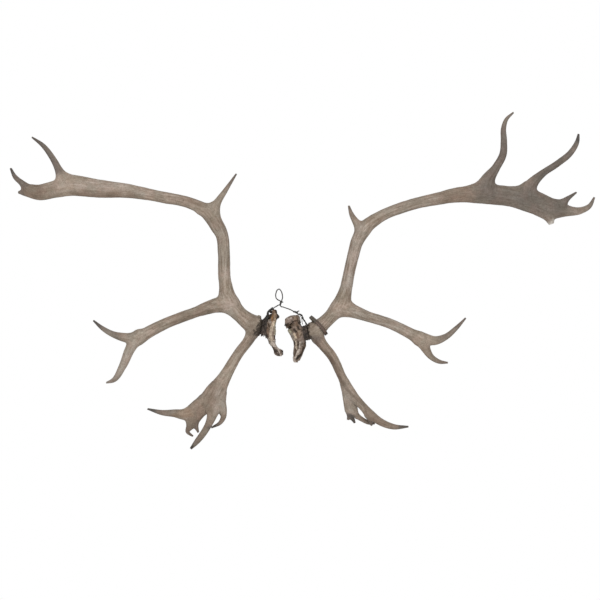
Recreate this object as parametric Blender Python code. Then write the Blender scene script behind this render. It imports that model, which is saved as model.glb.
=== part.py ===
"""A pair of caribou antlers on a wire wall hanger.

Each antler is still grown to its sawn piece of skull. Wire is wound round both bone stalks, and one
wire with a loop joins them, so the pair hangs from a single nail.

X runs to the right as the pair is seen from the front, Z up, and Y into the wall. The origin is the
place where the nail touches the inside of the loop. Stations are in millimetres from there.
"""

import math

import bmesh
import bpy
import numpy as np
from mathutils import Matrix, Vector

MM = 0.001

# The wall, and the gap that parts two pieces that touch
WALL_BEHIND_NAIL = 6.0
KERF = 0.3

# How finely the grown forms are made
SIDES = 14
RIB_SPACING = 4.0
VOXEL = 2.5
SETTLE_STEPS = 5
WEB_RADIUS = 5.0
REACH = 22.0
FAR = 1000.0
LEAST_SLOPE = 0.3
LONGEST_STEP = 3.0
CREASE = 40.0
LEFT_FACES = 2400
RIGHT_FACES = 2500

# The bone stalk under each antler, and what is wound round it
NECK_RADIUS = 19.0
WRAP_RADIUS = 24.0
WRAP_TURNS = 3
WRAP_DIP = 1.6
WRAP_STEPS = 16
WRAP_CREASE = 60.0
GROOVE_CLEARANCE = 6.0
NECK_CUT_RADIUS = 20.0

# The saw: how much wider than the branch it cuts, and the block that takes away what is behind the wall
SAW_MARGIN = 1.3
SAW_CLEARANCE = 2.5
SAW_SIDES = 20
WALL_BLOCK = 300.0
WALL_BLOCK_DEPTH = 60.0
WALL_BLOCK_HEIGHT = -120.0

WIRE_RADIUS = 1.0
STRAND_RADIUS = 2.2
TWIST_RADIUS = 1.35
STRAP_WIDTH = 11.5
STRAP_THICKNESS = 2.6

# Every branch is a row of stations: x, z, half width, distance out from the wall, depth over width
LEFT_ANTLER = {
    "beam": [
        (-58, -105, 21, 31, 0.97), (-79, -98, 24.5, 34, 0.95), (-115, -71, 22.5, 42, 0.95),
        (-143, -26, 21.5, 56, 0.95), (-154, 25, 18, 70, 1.0), (-156, 105, 17.5, 96, 1.05),
        (-163, 158, 18.5, 110, 1.0), (-195, 212, 21, 124, 0.9), (-245, 241, 16.5, 134, 0.85),
        (-340, 263, 16.5, 144, 0.85), (-430, 279, 20, 142, 0.7), (-515, 287, 25.5, 132, 0.55),
        (-592, 293, 29, 118, 0.45), (-640, 285, 24.5, 104, 0.45), (-690, 278, 22, 86, 0.5),
        (-716, 284, 18, 74, 0.6), (-740, 304, 9.5, 56, 0.8), (-761, 325, 6.5, 40, 0.95),
        (-774, 349, 3, 28, 1.0)],
    "crown tine": [
        (-608, 296, 24, 112, 0.5), (-622, 334, 12, 106, 0.8), (-645, 369, 9, 90, 0.95),
        (-677, 413, 6.5, 64, 1.0), (-709, 438, 2.5, 46, 1.0)],
    "crown stub": [(-708, 283, 14, 78, 0.6), (-728, 279, 9.5, 68, 0.75), (-748, 279, 3.5, 60, 1.0)],
    "back tine": [
        (-186, 216, 18, 124, 0.9), (-174, 243, 11.5, 122, 0.95), (-150, 281, 7, 107, 1.0),
        (-120, 331, 2.5, 82, 1.0)],
    "bez tine": [
        (-137, -40, 22, 52, 0.95), (-180, -46, 20.5, 62, 0.9), (-245, -68, 15.5, 86, 0.95),
        (-303, -90, 15, 108, 0.95), (-370, -122, 17, 126, 0.85), (-400, -139, 18.5, 132, 0.7)],
    "bez upper point": [
        (-392, -138, 13, 131, 0.7), (-440, -136, 12.5, 132, 0.8), (-470, -128, 9, 125, 0.95),
        (-500, -112, 6.5, 115, 1.0), (-529, -89, 2.5, 100, 1.0)],
    "bez lower point": [
        (-400, -130, 14, 131, 0.7), (-425, -174, 15, 131, 0.8), (-444, -219, 11, 118, 0.95),
        (-473, -260, 6.5, 98, 1.0), (-493, -267, 2.5, 92, 1.0)],
    "brow tine": [
        (-68, -111, 23, 31, 0.95), (-86, -143, 16.5, 36, 0.95), (-117, -186, 15, 45, 0.95),
        (-146, -234, 17, 53, 0.8), (-166, -269, 22, 55, 0.65), (-185, -307, 31, 53, 0.42),
        (-203, -335, 29, 50, 0.36)],
    "brow front point": [
        (-209, -325, 24, 50, 0.4), (-240, -343, 23, 48, 0.45), (-275, -357, 16, 46, 0.65),
        (-300, -357, 11.5, 44, 0.8), (-335, -353, 8, 38, 0.95), (-379, -343, 2.5, 28, 1.0)],
    "brow outer fork": [
        (-226, -342, 22, 48, 0.42), (-247, -370, 18, 46, 0.5), (-257, -395, 10.5, 44, 0.75),
        (-263, -410, 6, 40, 1.0), (-248, -424, 2.5, 32, 1.0)],
    "brow inner fork": [(-237, -367, 15, 46, 0.5), (-237, -388, 8.5, 46, 0.75), (-232, -412, 2.5, 50, 1.0)],
    "brow long point": [
        (-187, -330, 23, 52, 0.4), (-191, -357, 15, 58, 0.6), (-200, -384, 11, 64, 0.8),
        (-215, -411, 9.5, 66, 0.95), (-235, -438, 7, 65, 1.0), (-252, -457, 3, 62, 1.0)],
    "brow hook point": [
        (-169, -319, 18, 50, 0.45), (-161, -347, 11.5, 46, 0.65), (-160, -368, 8, 42, 0.85),
        (-168, -383, 6, 40, 1.0), (-195, -399, 2.5, 36, 1.0)],
    "burr": [(-57, -105, 25.5, 31, 0.97), (-63, -103, 25, 32, 0.97)],
    "pedicle": [(-22, -113, 15, 22, 1.1), (-40, -110, 18, 27, 1.0), (-62, -104, 19, 32, 1.0)],
}
LEFT_SKULL = {
    "strip": [
        (-13, -65, 5, 24, 1.2), (-17, -82, 7, 26, 1.2), (-24, -105, 6, 30, 1.2), (-24, -130, 6, 32, 1.2),
        (-21, -150, 5.5, 28, 1.2), (-14, -170, 5.5, 22, 1.1), (-1, -183, 6, 16, 1.1)],
    "outer edge": [
        (-27, -92, 7, 20, 1.5), (-28, -112, 7, 22, 1.5), (-28, -135, 5.5, 20, 1.5), (-22, -155, 5, 16, 1.5)],
    "torn edge": [
        (-13, -63, 4, 24, 1.2), (-9, -73, 4, 28, 1.2), (-5.5, -82, 4.5, 28, 1.1), (-17, -98, 4, 26, 1.2)],
    "inner edge": [(-20, -112, 3.5, 38, 1.3), (-18.5, -130, 3.5, 40, 1.3), (-17.5, -148, 3.5, 36, 1.3)],
    "web": [
        (-16, -77, 6, 7, 1.4), (-24, -100, 6.5, 7, 1.2), (-24, -130, 6.5, 6.5, 1.2), (-18, -158, 5, 5, 1.3),
        (-3, -182, 5, 5, 1.2)],
    "toe": [(-7, -180, 6, 14, 1.0), (8.5, -184.5, 7, 12, 1.0)],
}
RIGHT_ANTLER = {
    "beam": [
        (90, -124, 21.5, 31, 0.97), (106, -116, 24, 33, 0.95), (131, -96, 20.5, 39, 0.95),
        (155, -71, 20, 47, 0.95), (178, -40, 21.5, 57, 0.95), (191, -2, 18.5, 68, 1.0),
        (200, 42, 16.5, 86, 1.05),
        (212, 95, 17, 104, 1.05), (227, 145, 18.5, 120, 1.0), (250, 182, 20, 132, 0.9),
        (285, 206, 16.5, 140, 0.85), (380, 240, 16, 154, 0.85), (445, 255, 17.5, 157, 0.8),
        (520, 268, 22.5, 151, 0.6), (590, 269, 28, 143, 0.48), (660, 264, 29, 131, 0.42),
        (730, 248, 32, 116, 0.4), (775, 230, 28, 103, 0.42), (820, 225, 17, 88, 0.55),
        (865, 226, 10, 74, 0.8), (892, 239, 7, 62, 0.95), (907, 263, 2.5, 52, 1.0)],
    "crown first tine": [
        (588, 274, 27, 144, 0.5), (594, 309, 20, 141, 0.65), (614, 343, 12.5, 131, 0.85),
        (637, 382, 11, 119, 0.95), (642, 425, 9, 104, 1.0), (644, 460, 7.5, 90, 1.0),
        (653, 485, 5.5, 80, 1.0), (674, 507, 2.5, 70, 1.0)],
    "crown second tine": [
        (704, 261, 28, 122, 0.42), (720, 298, 17.5, 117, 0.65), (754, 331, 10.5, 105, 0.9),
        (799, 361, 9.5, 92, 1.0), (834, 392, 8.5, 81, 1.0), (855, 426, 6, 70, 1.0), (860, 445, 2.5, 64, 1.0)],
    "crown spur": [
        (782, 236, 20, 100, 0.45), (809, 246, 12.5, 94, 0.6), (827, 260, 7, 89, 0.9),
        (851, 277, 2.5, 82, 1.0)],
    "crown heel": [(757, 228, 19, 108, 0.42), (769, 206, 14, 104, 0.5), (776, 188, 7.5, 101, 0.7)],
    "back tine": [
        (238, 167, 18, 126, 0.9), (222, 190, 11.5, 123, 0.9), (207, 215, 6.5, 115, 1.0),
        (199, 238, 2.5, 106, 1.0)],
    "bez tine": [
        (171, -56, 22, 52, 0.95), (206, -60, 20, 60, 0.9), (255, -78, 15.5, 79, 0.9),
        (310, -95, 14.5, 101, 0.95), (374, -126, 16, 124, 0.85), (402, -141, 18.5, 132, 0.7)],
    "bez upper point": [
        (392, -139, 13, 130, 0.7), (440, -146, 13, 132, 0.8), (475, -135, 9, 126, 0.95),
        (504, -112, 6.5, 114, 1.0), (534, -82, 2.5, 98, 1.0)],
    "bez lower point": [
        (396, -131, 14, 131, 0.65), (419, -169, 12.5, 131, 0.8), (434, -192, 8.5, 122, 0.95),
        (459, -206, 6, 109, 1.0), (483, -208, 2.5, 100, 1.0)],
    "brow tine": [
        (102, -121, 23, 32, 0.95), (120, -151, 16, 37, 0.95), (155, -195, 14, 47, 0.95),
        (181, -249, 13, 60, 0.9), (204, -298, 14, 66, 0.7)],
    "brow long tine": [
        (197, -286, 13.5, 68, 0.85), (230, -326, 11.5, 71, 0.95), (264, -360, 11.5, 72, 0.95),
        (290, -378, 11.5, 70, 0.95), (330, -393, 8.5, 63, 1.0), (373, -395, 2.5, 52, 1.0)],
    "brow spur": [(255, -362, 7, 68, 0.9), (263, -379, 4, 60, 1.0), (268, -394, 2.5, 52, 1.0)],
    "brow palm": [
        (193, -284, 14, 64, 0.6), (199.5, -313, 18.5, 60, 0.45), (204, -336, 18.5, 54, 0.42),
        (208, -350, 13, 50, 0.5)],
    "brow hook point": [
        (208, -339, 15, 52, 0.5), (222, -359, 8.5, 48, 0.75), (240, -373, 6.5, 44, 0.9),
        (258, -382, 5.5, 40, 1.0), (277, -387, 2.5, 36, 1.0)],
    "brow lower point": [(206, -351, 10, 50, 0.6), (210, -369, 4.5, 48, 0.9), (219, -385, 2.5, 46, 1.0)],
    "brow nib": [(203, -350, 8, 50, 0.6), (202, -366, 4, 52, 0.9), (198, -375, 2.5, 54, 1.0)],
    "burr": [(87, -125, 24.5, 30, 0.97), (93, -123, 25, 31, 0.97)],
    "pedicle": [(54, -130, 15, 22, 1.1), (75, -127, 18, 27, 1.0), (94, -122, 19, 32, 1.0)],
}
RIGHT_SKULL = {
    "crest": [(21, -93, 7.5, 18, 1.3), (40, -88.5, 12, 22, 1.2), (53, -87, 9, 22, 1.2)],
    "lobe": [(21, -97, 7, 18, 1.4), (28, -111, 7.5, 18, 1.4)],
    "left ridge": [
        (34, -114, 7, 20, 1.4), (43, -134, 6.5, 22, 1.4), (50, -156, 6, 20, 1.4), (49, -182, 5.5, 14, 1.4),
        (48, -209, 4, 8, 1.4)],
    "middle ridge": [
        (46, -100, 11, 28, 1.1), (55, -126, 10, 34, 1.0), (61, -150, 7.5, 32, 1.0), (59, -174, 5.5, 22, 1.0),
        (53, -196, 5, 12, 1.0)],
    "right ridge": [
        (52, -95, 9, 24, 1.1), (60, -115, 10.5, 26, 1.1), (70, -143, 9, 24, 1.2), (70, -160, 7, 20, 1.2),
        (62, -182, 6.5, 14, 1.3), (54, -202, 4.5, 8, 1.4)],
    "web": [
        (41, -96, 15, 8, 0.6), (47, -115, 15, 8, 0.6), (57, -140, 14, 8, 0.6), (60, -162, 10, 8, 0.8),
        (54, -187, 9, 6, 0.9)],
}
BURR_EDGE = 4.0

# Where each grown form is sawn across: branch, and how many stations along it
LEFT_SAWS = [
    ("beam", 4.0), ("beam", 8.0), ("beam", 11.0), ("crown tine", 1.1), ("back tine", 1.0),
    ("bez tine", 1.2), ("bez upper point", 1.0), ("bez lower point", 1.0), ("brow tine", 1.15),
    ("brow tine", 4.0), ("brow front point", 2.0), ("brow long point", 1.5), ("brow hook point", 1.3)]
RIGHT_SAWS = [
    ("beam", 5.3), ("beam", 10.0), ("beam", 13.0), ("beam", 18.6), ("crown first tine", 1.3),
    ("crown second tine", 1.2), ("back tine", 1.0), ("bez tine", 1.2), ("bez upper point", 1.0),
    ("bez lower point", 1.2), ("brow tine", 1.1), ("brow tine", 3.5), ("brow long tine", 1.5),
    ("brow hook point", 1.45)]

# The name of each sawn piece, and a station that lies inside it
LEFT_PIECES = {
    "left_lower_beam": ("beam", 2.0), "left_middle_beam": ("beam", 5.5), "left_upper_beam": ("beam", 9.5),
    "left_crown_palm": ("beam", 12.5), "left_crown_tine": ("crown tine", 2.5),
    "left_back_tine": ("back tine", 1.8), "left_bez_tine": ("bez tine", 3.0),
    "left_bez_upper_point": ("bez upper point", 2.0), "left_bez_lower_point": ("bez lower point", 2.0),
    "left_brow_tine": ("brow tine", 2.5), "left_brow_palm": ("brow tine", 5.0),
    "left_brow_front_point": ("brow front point", 3.0), "left_brow_long_point": ("brow long point", 3.0),
    "left_brow_hook_point": ("brow hook point", 2.0)}
RIGHT_PIECES = {
    "right_lower_beam": ("beam", 3.0), "right_middle_beam": ("beam", 7.5), "right_upper_beam": ("beam", 11.5),
    "right_crown_palm": ("beam", 15.0), "right_end_tine": ("beam", 19.5),
    "right_crown_first_tine": ("crown first tine", 3.0),
    "right_crown_second_tine": ("crown second tine", 3.0), "right_back_tine": ("back tine", 1.8),
    "right_bez_tine": ("bez tine", 3.0), "right_bez_upper_point": ("bez upper point", 2.0),
    "right_bez_lower_point": ("bez lower point", 2.0), "right_brow_tine": ("brow tine", 2.3),
    "right_brow_palm": ("brow palm", 1.5), "right_brow_long_tine": ("brow long tine", 3.0),
    "right_brow_hook_point": ("brow hook point", 2.0)}

# The wound stretch of each bone stalk: its two ends on the stalk's axis, x, z and distance out
LEFT_WRAP = ((-34.5, -111, 26), (-53, -107, 30))
RIGHT_WRAP = ((62, -128, 24.5), (84, -124, 29))

# Wire routes: x, z, distance out
LOOP_ROUTE = [
    (7.6, -31, 6), (10.5, -24, 6), (9.5, -14, 6), (6, -4, 6), (1, 1, 6), (-4, -1.5, 6), (-8, -9, 6),
    (-9.5, -18, 6), (-7, -26, 6), (-0.5, -31.5, 6)]
TWIST_TOP = (4.0, -35.5, 6.5)
TWIST_BOTTOM = (3.2, -45.5, 9.0)
TWIST_TURNS = 1.5
TWIST_STEPS = 10
STUB_SIDES = 8
LEFT_SPAN = [(-3, -48.5, 11), (-13.5, -52.5, 15.5)]
RIGHT_SPAN = [(8, -51.5, 11), (26, -56.5, 15), (38, -60.5, 19), (45, -64, 23)]
TIE_ROUTE = [(47.5, -65, 24.5), (52, -67, 26), (57, -70, 28)]
TIE_STUBS = [((50, -66, 27), (43, -68.5, 30)), ((53, -67, 27), (60, -62.5, 29))]
LEFT_LEG = [
    (-20, -56, 18, 3.8), (-26, -62, 19, 3.2), (-31.5, -69, 22, 3.0), (-35.5, -75.5, 24, 2.8),
    (-39, -81, 27, 2.6)]
FRONT_LEG = [
    (59.5, -71.5, 30, 1.6), (65, -76.5, 36, 1.6), (70, -84, 38, 1.3), (72.5, -91, 36, 1.1),
    (75, -98.4, 32, 1.1)]
BACK_LEG = [(60.5, -75.5, 22, 1.2), (68.5, -82, 20, 1.1), (70.5, -90, 20, 1.1), (70.5, -98.6, 22, 1.1)]

# A point inside the body of each skull piece: x, z, distance out
LEFT_SKULL_SPOT = (-18, -140, 25)
RIGHT_SKULL_SPOT = (56, -160, 20)

# The strap: its middle, the way it runs across the beam, and half its length and depth
STRAP_MIDDLE = (114.5, -104, 35)
STRAP_RUN = (44, -49, 0)
STRAP_HALF_LENGTH = 35.0
STRAP_HALF_DEPTH = 31.0
STRAP_CORNER = 0.62
STRAP_STEPS = 24


def clear_scene():
    for thing in list(bpy.data.objects):
        bpy.data.objects.remove(thing, do_unlink=True)


def material(name, colour, roughness, metallic=0.0):
    finish = bpy.data.materials.new(name)
    finish.use_nodes = True
    shader = finish.node_tree.nodes["Principled BSDF"]
    shader.inputs["Base Color"].default_value = (*colour, 1.0)
    shader.inputs["Roughness"].default_value = roughness
    shader.inputs["Metallic"].default_value = metallic
    finish.diffuse_color = (*colour, 1.0)
    return finish


def place(x, z, out):
    """A point given in millimetres from the nail, and out from the wall, in metres."""
    return Vector((x * MM, (WALL_BEHIND_NAIL - out) * MM, z * MM))


def smooth_rows(rows, along):
    """Rows read from a smooth curve through the given ones, at the given counts of stations."""
    rows = np.array(rows, dtype=float)
    last = len(rows) - 1
    lengths = np.linalg.norm(np.diff(rows[:, :2], axis=0), axis=1)
    slopes = np.diff(rows, axis=0) / lengths[:, None]
    ends = np.concatenate([[0.0], np.cumsum(lengths)])
    tangents = np.empty_like(rows)
    tangents[0] = slopes[0]
    tangents[-1] = slopes[-1]
    for middle in range(1, last):
        before = lengths[middle - 1]
        after = lengths[middle]
        tangents[middle] = (slopes[middle - 1] * after + slopes[middle] * before) / (before + after)
    along = np.clip(np.asarray(along, dtype=float), 0.0, last)
    cell = np.minimum(along.astype(int), last - 1)
    part = (along - cell)[:, None]
    step = (ends[cell + 1] - ends[cell])[:, None]
    square = part * part
    cube = square * part
    return ((2 * cube - 3 * square + 1) * rows[cell] + (cube - 2 * square + part) * step * tangents[cell]
            + (3 * square - 2 * cube) * rows[cell + 1] + (cube - square) * step * tangents[cell + 1])


class Branch:
    """A swept branch: its axis, its half width and half depth, and the directions of both."""

    def __init__(self, stations, cap=None):
        self.stations = stations
        last = len(stations) - 1
        chords = np.linalg.norm(np.diff(np.array(stations)[:, :2], axis=0), axis=1)
        along = [0.0]
        for cell, chord in enumerate(chords):
            steps = max(2, math.ceil(chord / RIB_SPACING))
            along += [cell + (step + 1) / steps for step in range(steps)]
        self.along = np.minimum(along, last)
        rows = smooth_rows(stations, self.along)
        self.centre = np.column_stack([rows[:, 0], WALL_BEHIND_NAIL - rows[:, 3], rows[:, 1]])
        self.width = rows[:, 2]
        self.depth = rows[:, 2] * rows[:, 4]
        ahead = np.gradient(self.centre, axis=0)
        self.ahead = ahead / np.linalg.norm(ahead, axis=1)[:, None]
        side = np.cross(self.ahead, (0.0, 1.0, 0.0))
        self.side = side / np.linalg.norm(side, axis=1)[:, None]
        self.front = np.cross(self.side, self.ahead)
        self.cap = cap

    def rib(self, station):
        """Centre, directions and half sizes at a count of stations along the branch."""
        row = int(np.argmin(np.abs(self.along - station)))
        return (self.centre[row], self.side[row], self.front[row], self.ahead[row], self.width[row],
                self.depth[row])

    def distance(self, points):
        """Signed distance of points to the branch's skin, and the way out of it."""
        apart = (np.sum(points ** 2, axis=1)[:, None] + np.sum(self.centre ** 2, axis=1)[None, :]
                 - 2.0 * points @ self.centre.T)
        row = np.argmin(apart, axis=1)
        last = len(self.centre) - 1
        spacing = np.linalg.norm(np.gradient(self.centre, axis=0), axis=1)
        lead = np.sum((points - self.centre[row]) * self.ahead[row], axis=1) / spacing[row]
        spot = np.clip(row + np.clip(lead, -1.0, 1.0), 0.0, last)
        cell = np.minimum(spot.astype(int), last - 1)
        part = (spot - cell)[:, None]

        def between(values):
            values = values if values.ndim > 1 else values[:, None]
            return values[cell] * (1.0 - part) + values[cell + 1] * part

        side, front, ahead = between(self.side), between(self.front), between(self.ahead)
        width, depth = between(self.width)[:, 0], between(self.depth)[:, 0]
        offset = points - between(self.centre)
        across = np.sum(offset * side, axis=1)
        outward = np.sum(offset * front, axis=1)
        beyond = np.sum(offset * ahead, axis=1)
        at_end = (spot <= 0.0) & (beyond < 0.0) | (spot >= last) & (beyond > 0.0)
        beyond = np.where(at_end, beyond, 0.0)
        cap = self.cap if self.cap else np.minimum(width, depth)
        ratio = np.sqrt((across / width) ** 2 + (outward / depth) ** 2 + (beyond / cap) ** 2) + 1e-6
        size = np.sqrt(across ** 2 + outward ** 2 + beyond ** 2) + 1e-6
        way = (side * (across / width ** 2)[:, None] + front * (outward / depth ** 2)[:, None]
               + ahead * (beyond / cap ** 2)[:, None])
        way /= np.linalg.norm(way, axis=1)[:, None] + 1e-9
        return size * (1.0 - 1.0 / ratio), way


def sweep(bm, branch):
    """A closed tube along the branch."""
    turns = [math.tau * step / SIDES for step in range(SIDES)]
    rings = []
    for row in range(len(branch.centre)):
        if not rings:
            ring = bmesh.ops.create_circle(bm, cap_ends=False, segments=SIDES, radius=1.0)["verts"]
        else:
            edges = [bm.edges.get((rings[-1][step - 1], rings[-1][step])) for step in range(SIDES)]
            made = bmesh.ops.extrude_edge_only(bm, edges=edges)["geom"]
            fresh = {item for item in made if isinstance(item, bmesh.types.BMVert)}
            ring = [next(edge.other_vert(vert) for edge in vert.link_edges if edge.other_vert(vert) in fresh)
                    for vert in rings[-1]]
        for turn, vert in zip(turns, ring):
            vert.co = Vector(branch.centre[row] + branch.side[row] * branch.width[row] * math.cos(turn)
                             + branch.front[row] * branch.depth[row] * math.sin(turn)) * MM
        rings.append(ring)
    for ring in (rings[0], rings[-1]):
        bmesh.ops.contextual_create(bm, geom=ring)


def new_object(name, mesh):
    thing = bpy.data.objects.new(name, mesh)
    bpy.context.scene.collection.objects.link(thing)
    return thing


def object_from(bm, name):
    bmesh.ops.recalc_face_normals(bm, faces=bm.faces)
    mesh = bpy.data.meshes.new(name)
    bm.to_mesh(mesh)
    bm.free()
    return new_object(name, mesh)


def applied(thing):
    """The object's mesh with its modifiers applied, in place of the old one."""
    bpy.context.view_layer.update()
    mesh = bpy.data.meshes.new_from_object(thing.evaluated_get(bpy.context.evaluated_depsgraph_get()))
    thing.modifiers.clear()
    thing.data = mesh
    return mesh


def settle(mesh, branches):
    """Moves a skin onto the smooth union of its branches, with a small web at every fork."""
    points = np.empty(len(mesh.vertices) * 3)
    mesh.vertices.foreach_get("co", points)
    points = points.reshape(-1, 3) / MM
    for _ in range(SETTLE_STEPS):
        gaps = np.full((len(branches), len(points)), FAR)
        ways = np.zeros((len(branches), len(points), 3))
        for row, branch in enumerate(branches):
            margin = REACH + branch.width.max()
            low = branch.centre.min(axis=0) - margin
            high = branch.centre.max(axis=0) + margin
            near = np.all((points > low) & (points < high), axis=1)
            gaps[row, near], ways[row, near] = branch.distance(points[near])
        least = gaps.min(axis=0)
        weight = np.exp(-(gaps - least) / WEB_RADIUS)
        total = weight.sum(axis=0)
        gap = least - WEB_RADIUS * np.log(total)
        way = (weight[:, :, None] * ways).sum(axis=0) / total[:, None]
        steep = np.maximum(np.sum(way ** 2, axis=1), LEAST_SLOPE)
        move = np.clip(gap / steep, -LONGEST_STEP, LONGEST_STEP)
        points = points - way * move[:, None]
    mesh.vertices.foreach_set("co", (points * MM).ravel())
    mesh.update()


def grown_form(name, branches, faces):
    """One skin over all the branches, with about the given number of triangles."""
    bm = bmesh.new()
    for branch in branches:
        sweep(bm, branch)
    form = object_from(bm, name)
    skin = form.modifiers.new("skin", "REMESH")
    skin.mode = "VOXEL"
    skin.voxel_size = VOXEL * MM
    settle(applied(form), branches)
    thin = form.modifiers.new("facets", "DECIMATE")
    thin.ratio = faces / (2.0 * len(form.data.polygons))
    thin.use_collapse_triangulate = True
    applied(form)
    return form


def oriented(centre, side, front, ahead):
    """A matrix whose X, Y and Z are the given directions, at the given centre in millimetres."""
    turn = Matrix([side, front, ahead]).transposed().to_4x4()
    return Matrix.Translation(Vector(centre) * MM) @ turn


def saw_kerf(bm, branch, station):
    """A thin disc across the branch, a little wider than it."""
    centre, side, front, ahead, width, depth = branch.rib(station)
    place_saw = oriented(centre, side, front, ahead)
    reach = [(half * SAW_MARGIN + SAW_CLEARANCE) * MM for half in (width, depth)]
    size = Matrix.Diagonal((*reach, KERF * MM, 1.0))
    bmesh.ops.create_cone(bm, cap_ends=True, segments=SAW_SIDES, radius1=1.0, radius2=1.0, depth=1.0,
                          matrix=place_saw @ size)


def wrap_frame(wrap):
    """The middle, the length in millimetres and the directions of a wound stretch."""
    start, end = (place(*point) for point in wrap)
    ahead = (end - start).normalized()
    side = ahead.cross(Vector((0.0, 1.0, 0.0))).normalized()
    front = side.cross(ahead)
    return (start + end) / 2.0 / MM, (end - start).length / MM, side, front, ahead


def turned_ring(bm, wrap, profile):
    """A ring round the wound stretch, from a profile of radius and height."""
    middle, _, side, front, ahead = wrap_frame(wrap)
    spot = oriented(middle, side, front, ahead)
    verts = [bm.verts.new(Vector((radius, 0.0, height)) * MM) for radius, height in profile]
    edges = [bm.edges.new((verts[step - 1], verts[step])) for step in range(len(verts))]
    bmesh.ops.spin(bm, geom=verts + edges, cent=(0, 0, 0), axis=(0, 0, 1), angle=math.tau,
                   steps=WRAP_STEPS, use_merge=True, use_duplicate=False)
    bmesh.ops.remove_doubles(bm, verts=bm.verts, dist=1e-6)
    bmesh.ops.transform(bm, matrix=spot, verts=bm.verts)


def neck_groove(bm, wrap):
    """The room that a wrap takes round the bone stalk, and the cut across the stalk under it."""
    middle, length, side, front, ahead = wrap_frame(wrap)
    ring = bmesh.new()
    half = length / 2.0 + KERF
    outer = WRAP_RADIUS + GROOVE_CLEARANCE
    turned_ring(ring, wrap, [(NECK_RADIUS, -half), (outer, -half), (outer, half), (NECK_RADIUS, half)])
    bmesh.ops.recalc_face_normals(ring, faces=ring.faces)
    mesh = bpy.data.meshes.new("groove")
    ring.to_mesh(mesh)
    ring.free()
    bm.from_mesh(mesh)
    bpy.data.meshes.remove(mesh)
    size = Matrix.Diagonal((NECK_CUT_RADIUS * MM, NECK_CUT_RADIUS * MM, KERF * MM, 1.0))
    disc = oriented(middle, side, front, ahead)
    return disc @ size


def cutter_object(name, bm):
    cutter = object_from(bm, name)
    cutter.hide_render = True
    cutter.display_type = "WIRE"
    return cutter


def cut_away(form, cutter):
    cut = form.modifiers.new(cutter.name, "BOOLEAN")
    cut.operation = "DIFFERENCE"
    cut.solver = "EXACT"
    cut.object = cutter
    applied(form)


def sawn(form, antler, saws, wrap):
    """Cuts the form off at the wall, round the wound stretch and across its forks."""
    wall = bmesh.new()
    behind = Matrix.Translation(place(0, WALL_BLOCK_HEIGHT, -WALL_BLOCK_DEPTH / 2.0))
    block = Matrix.Diagonal((WALL_BLOCK * MM, WALL_BLOCK_DEPTH * MM, WALL_BLOCK * MM, 1.0))
    bmesh.ops.create_cube(wall, size=1.0, matrix=behind @ block)
    cut_away(form, cutter_object(form.name + "_wall_cut", wall))

    groove = bmesh.new()
    disc = neck_groove(groove, wrap)
    cut_away(form, cutter_object(form.name + "_neck_groove", groove))

    kerfs = bmesh.new()
    for branch, station in saws:
        saw_kerf(kerfs, antler[branch], station)
    bmesh.ops.create_cone(kerfs, cap_ends=True, segments=SAW_SIDES, radius1=1.0, radius2=1.0, depth=1.0,
                          matrix=disc)
    cut_away(form, cutter_object(form.name + "_saw_kerfs", kerfs))


def islands(mesh):
    """The separate bodies of a mesh, each as a bmesh."""
    bm = bmesh.new()
    bm.from_mesh(mesh)
    bm.verts.ensure_lookup_table()
    body = [-1] * len(bm.verts)
    count = 0
    for start in bm.verts:
        if body[start.index] >= 0:
            continue
        stack = [start]
        body[start.index] = count
        while stack:
            for edge in stack.pop().link_edges:
                for vert in edge.verts:
                    if body[vert.index] < 0:
                        body[vert.index] = count
                        stack.append(vert)
        count += 1
    parts = []
    for number in range(count):
        part = bm.copy()
        part.verts.ensure_lookup_table()
        others = [vert for vert in part.verts if body[vert.index] != number]
        bmesh.ops.delete(part, geom=others, context="VERTS")
        parts.append(part)
    bm.free()
    return parts


def middle_distance(part, spot):
    """How far a point is from the nearest vertex of a body."""
    return min((vert.co - spot).length for vert in part.verts)


def named_pieces(form, antler, pieces, skull_name, skull_spot, finishes):
    """Parts the sawn form into named objects."""
    spots = {name: Vector(antler[branch].rib(station)[0]) * MM for name, (branch, station) in pieces.items()}
    spots[skull_name] = skull_spot
    parts = islands(form.data)
    for name, spot in spots.items():
        nearest = min(parts, key=lambda part: middle_distance(part, spot))
        parts.remove(nearest)
        piece = object_from(nearest, name)
        finish = finishes["bone"] if name == skull_name else finishes["antler"]
        finish_piece(piece, finish)
    bpy.data.objects.remove(form, do_unlink=True)


def finish_piece(piece, finish, crease=CREASE):
    piece.data.materials.clear()
    piece.data.materials.append(finish)
    piece.data.shade_smooth()
    piece.data.set_sharp_from_angle(angle=math.radians(crease))


def wrap(name, ends, finish):
    """Turns of wire wound side by side, drawn as one ring with a dip between each two."""
    _, length, *_ = wrap_frame(ends)
    half = length / 2.0
    inner = NECK_RADIUS + KERF
    profile = [(inner, -half), (WRAP_RADIUS - WRAP_DIP, -half)]
    for turn in range(WRAP_TURNS):
        start = -half + length * turn / WRAP_TURNS
        profile.append((WRAP_RADIUS, start + length * 0.5 / WRAP_TURNS))
        profile.append((WRAP_RADIUS - WRAP_DIP, start + length / WRAP_TURNS))
    profile.append((inner, half))
    bm = bmesh.new()
    turned_ring(bm, ends, profile)
    finish_piece(object_from(bm, name), finish, WRAP_CREASE)


def wire(name, points, finish):
    """A round wire through points in metres, each with its radius in millimetres."""
    curve = bpy.data.curves.new(name, "CURVE")
    curve.dimensions = "3D"
    curve.bevel_depth = MM
    curve.bevel_resolution = 1
    curve.use_fill_caps = True
    spline = curve.splines.new("POLY")
    spline.points.add(len(points) - 1)
    for spot, (point, radius) in zip(spline.points, points):
        spot.co = (*point, 1.0)
        spot.radius = radius
        spot.tilt = 0.0
    curve.materials.append(finish)
    return new_object(name, curve)


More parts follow.
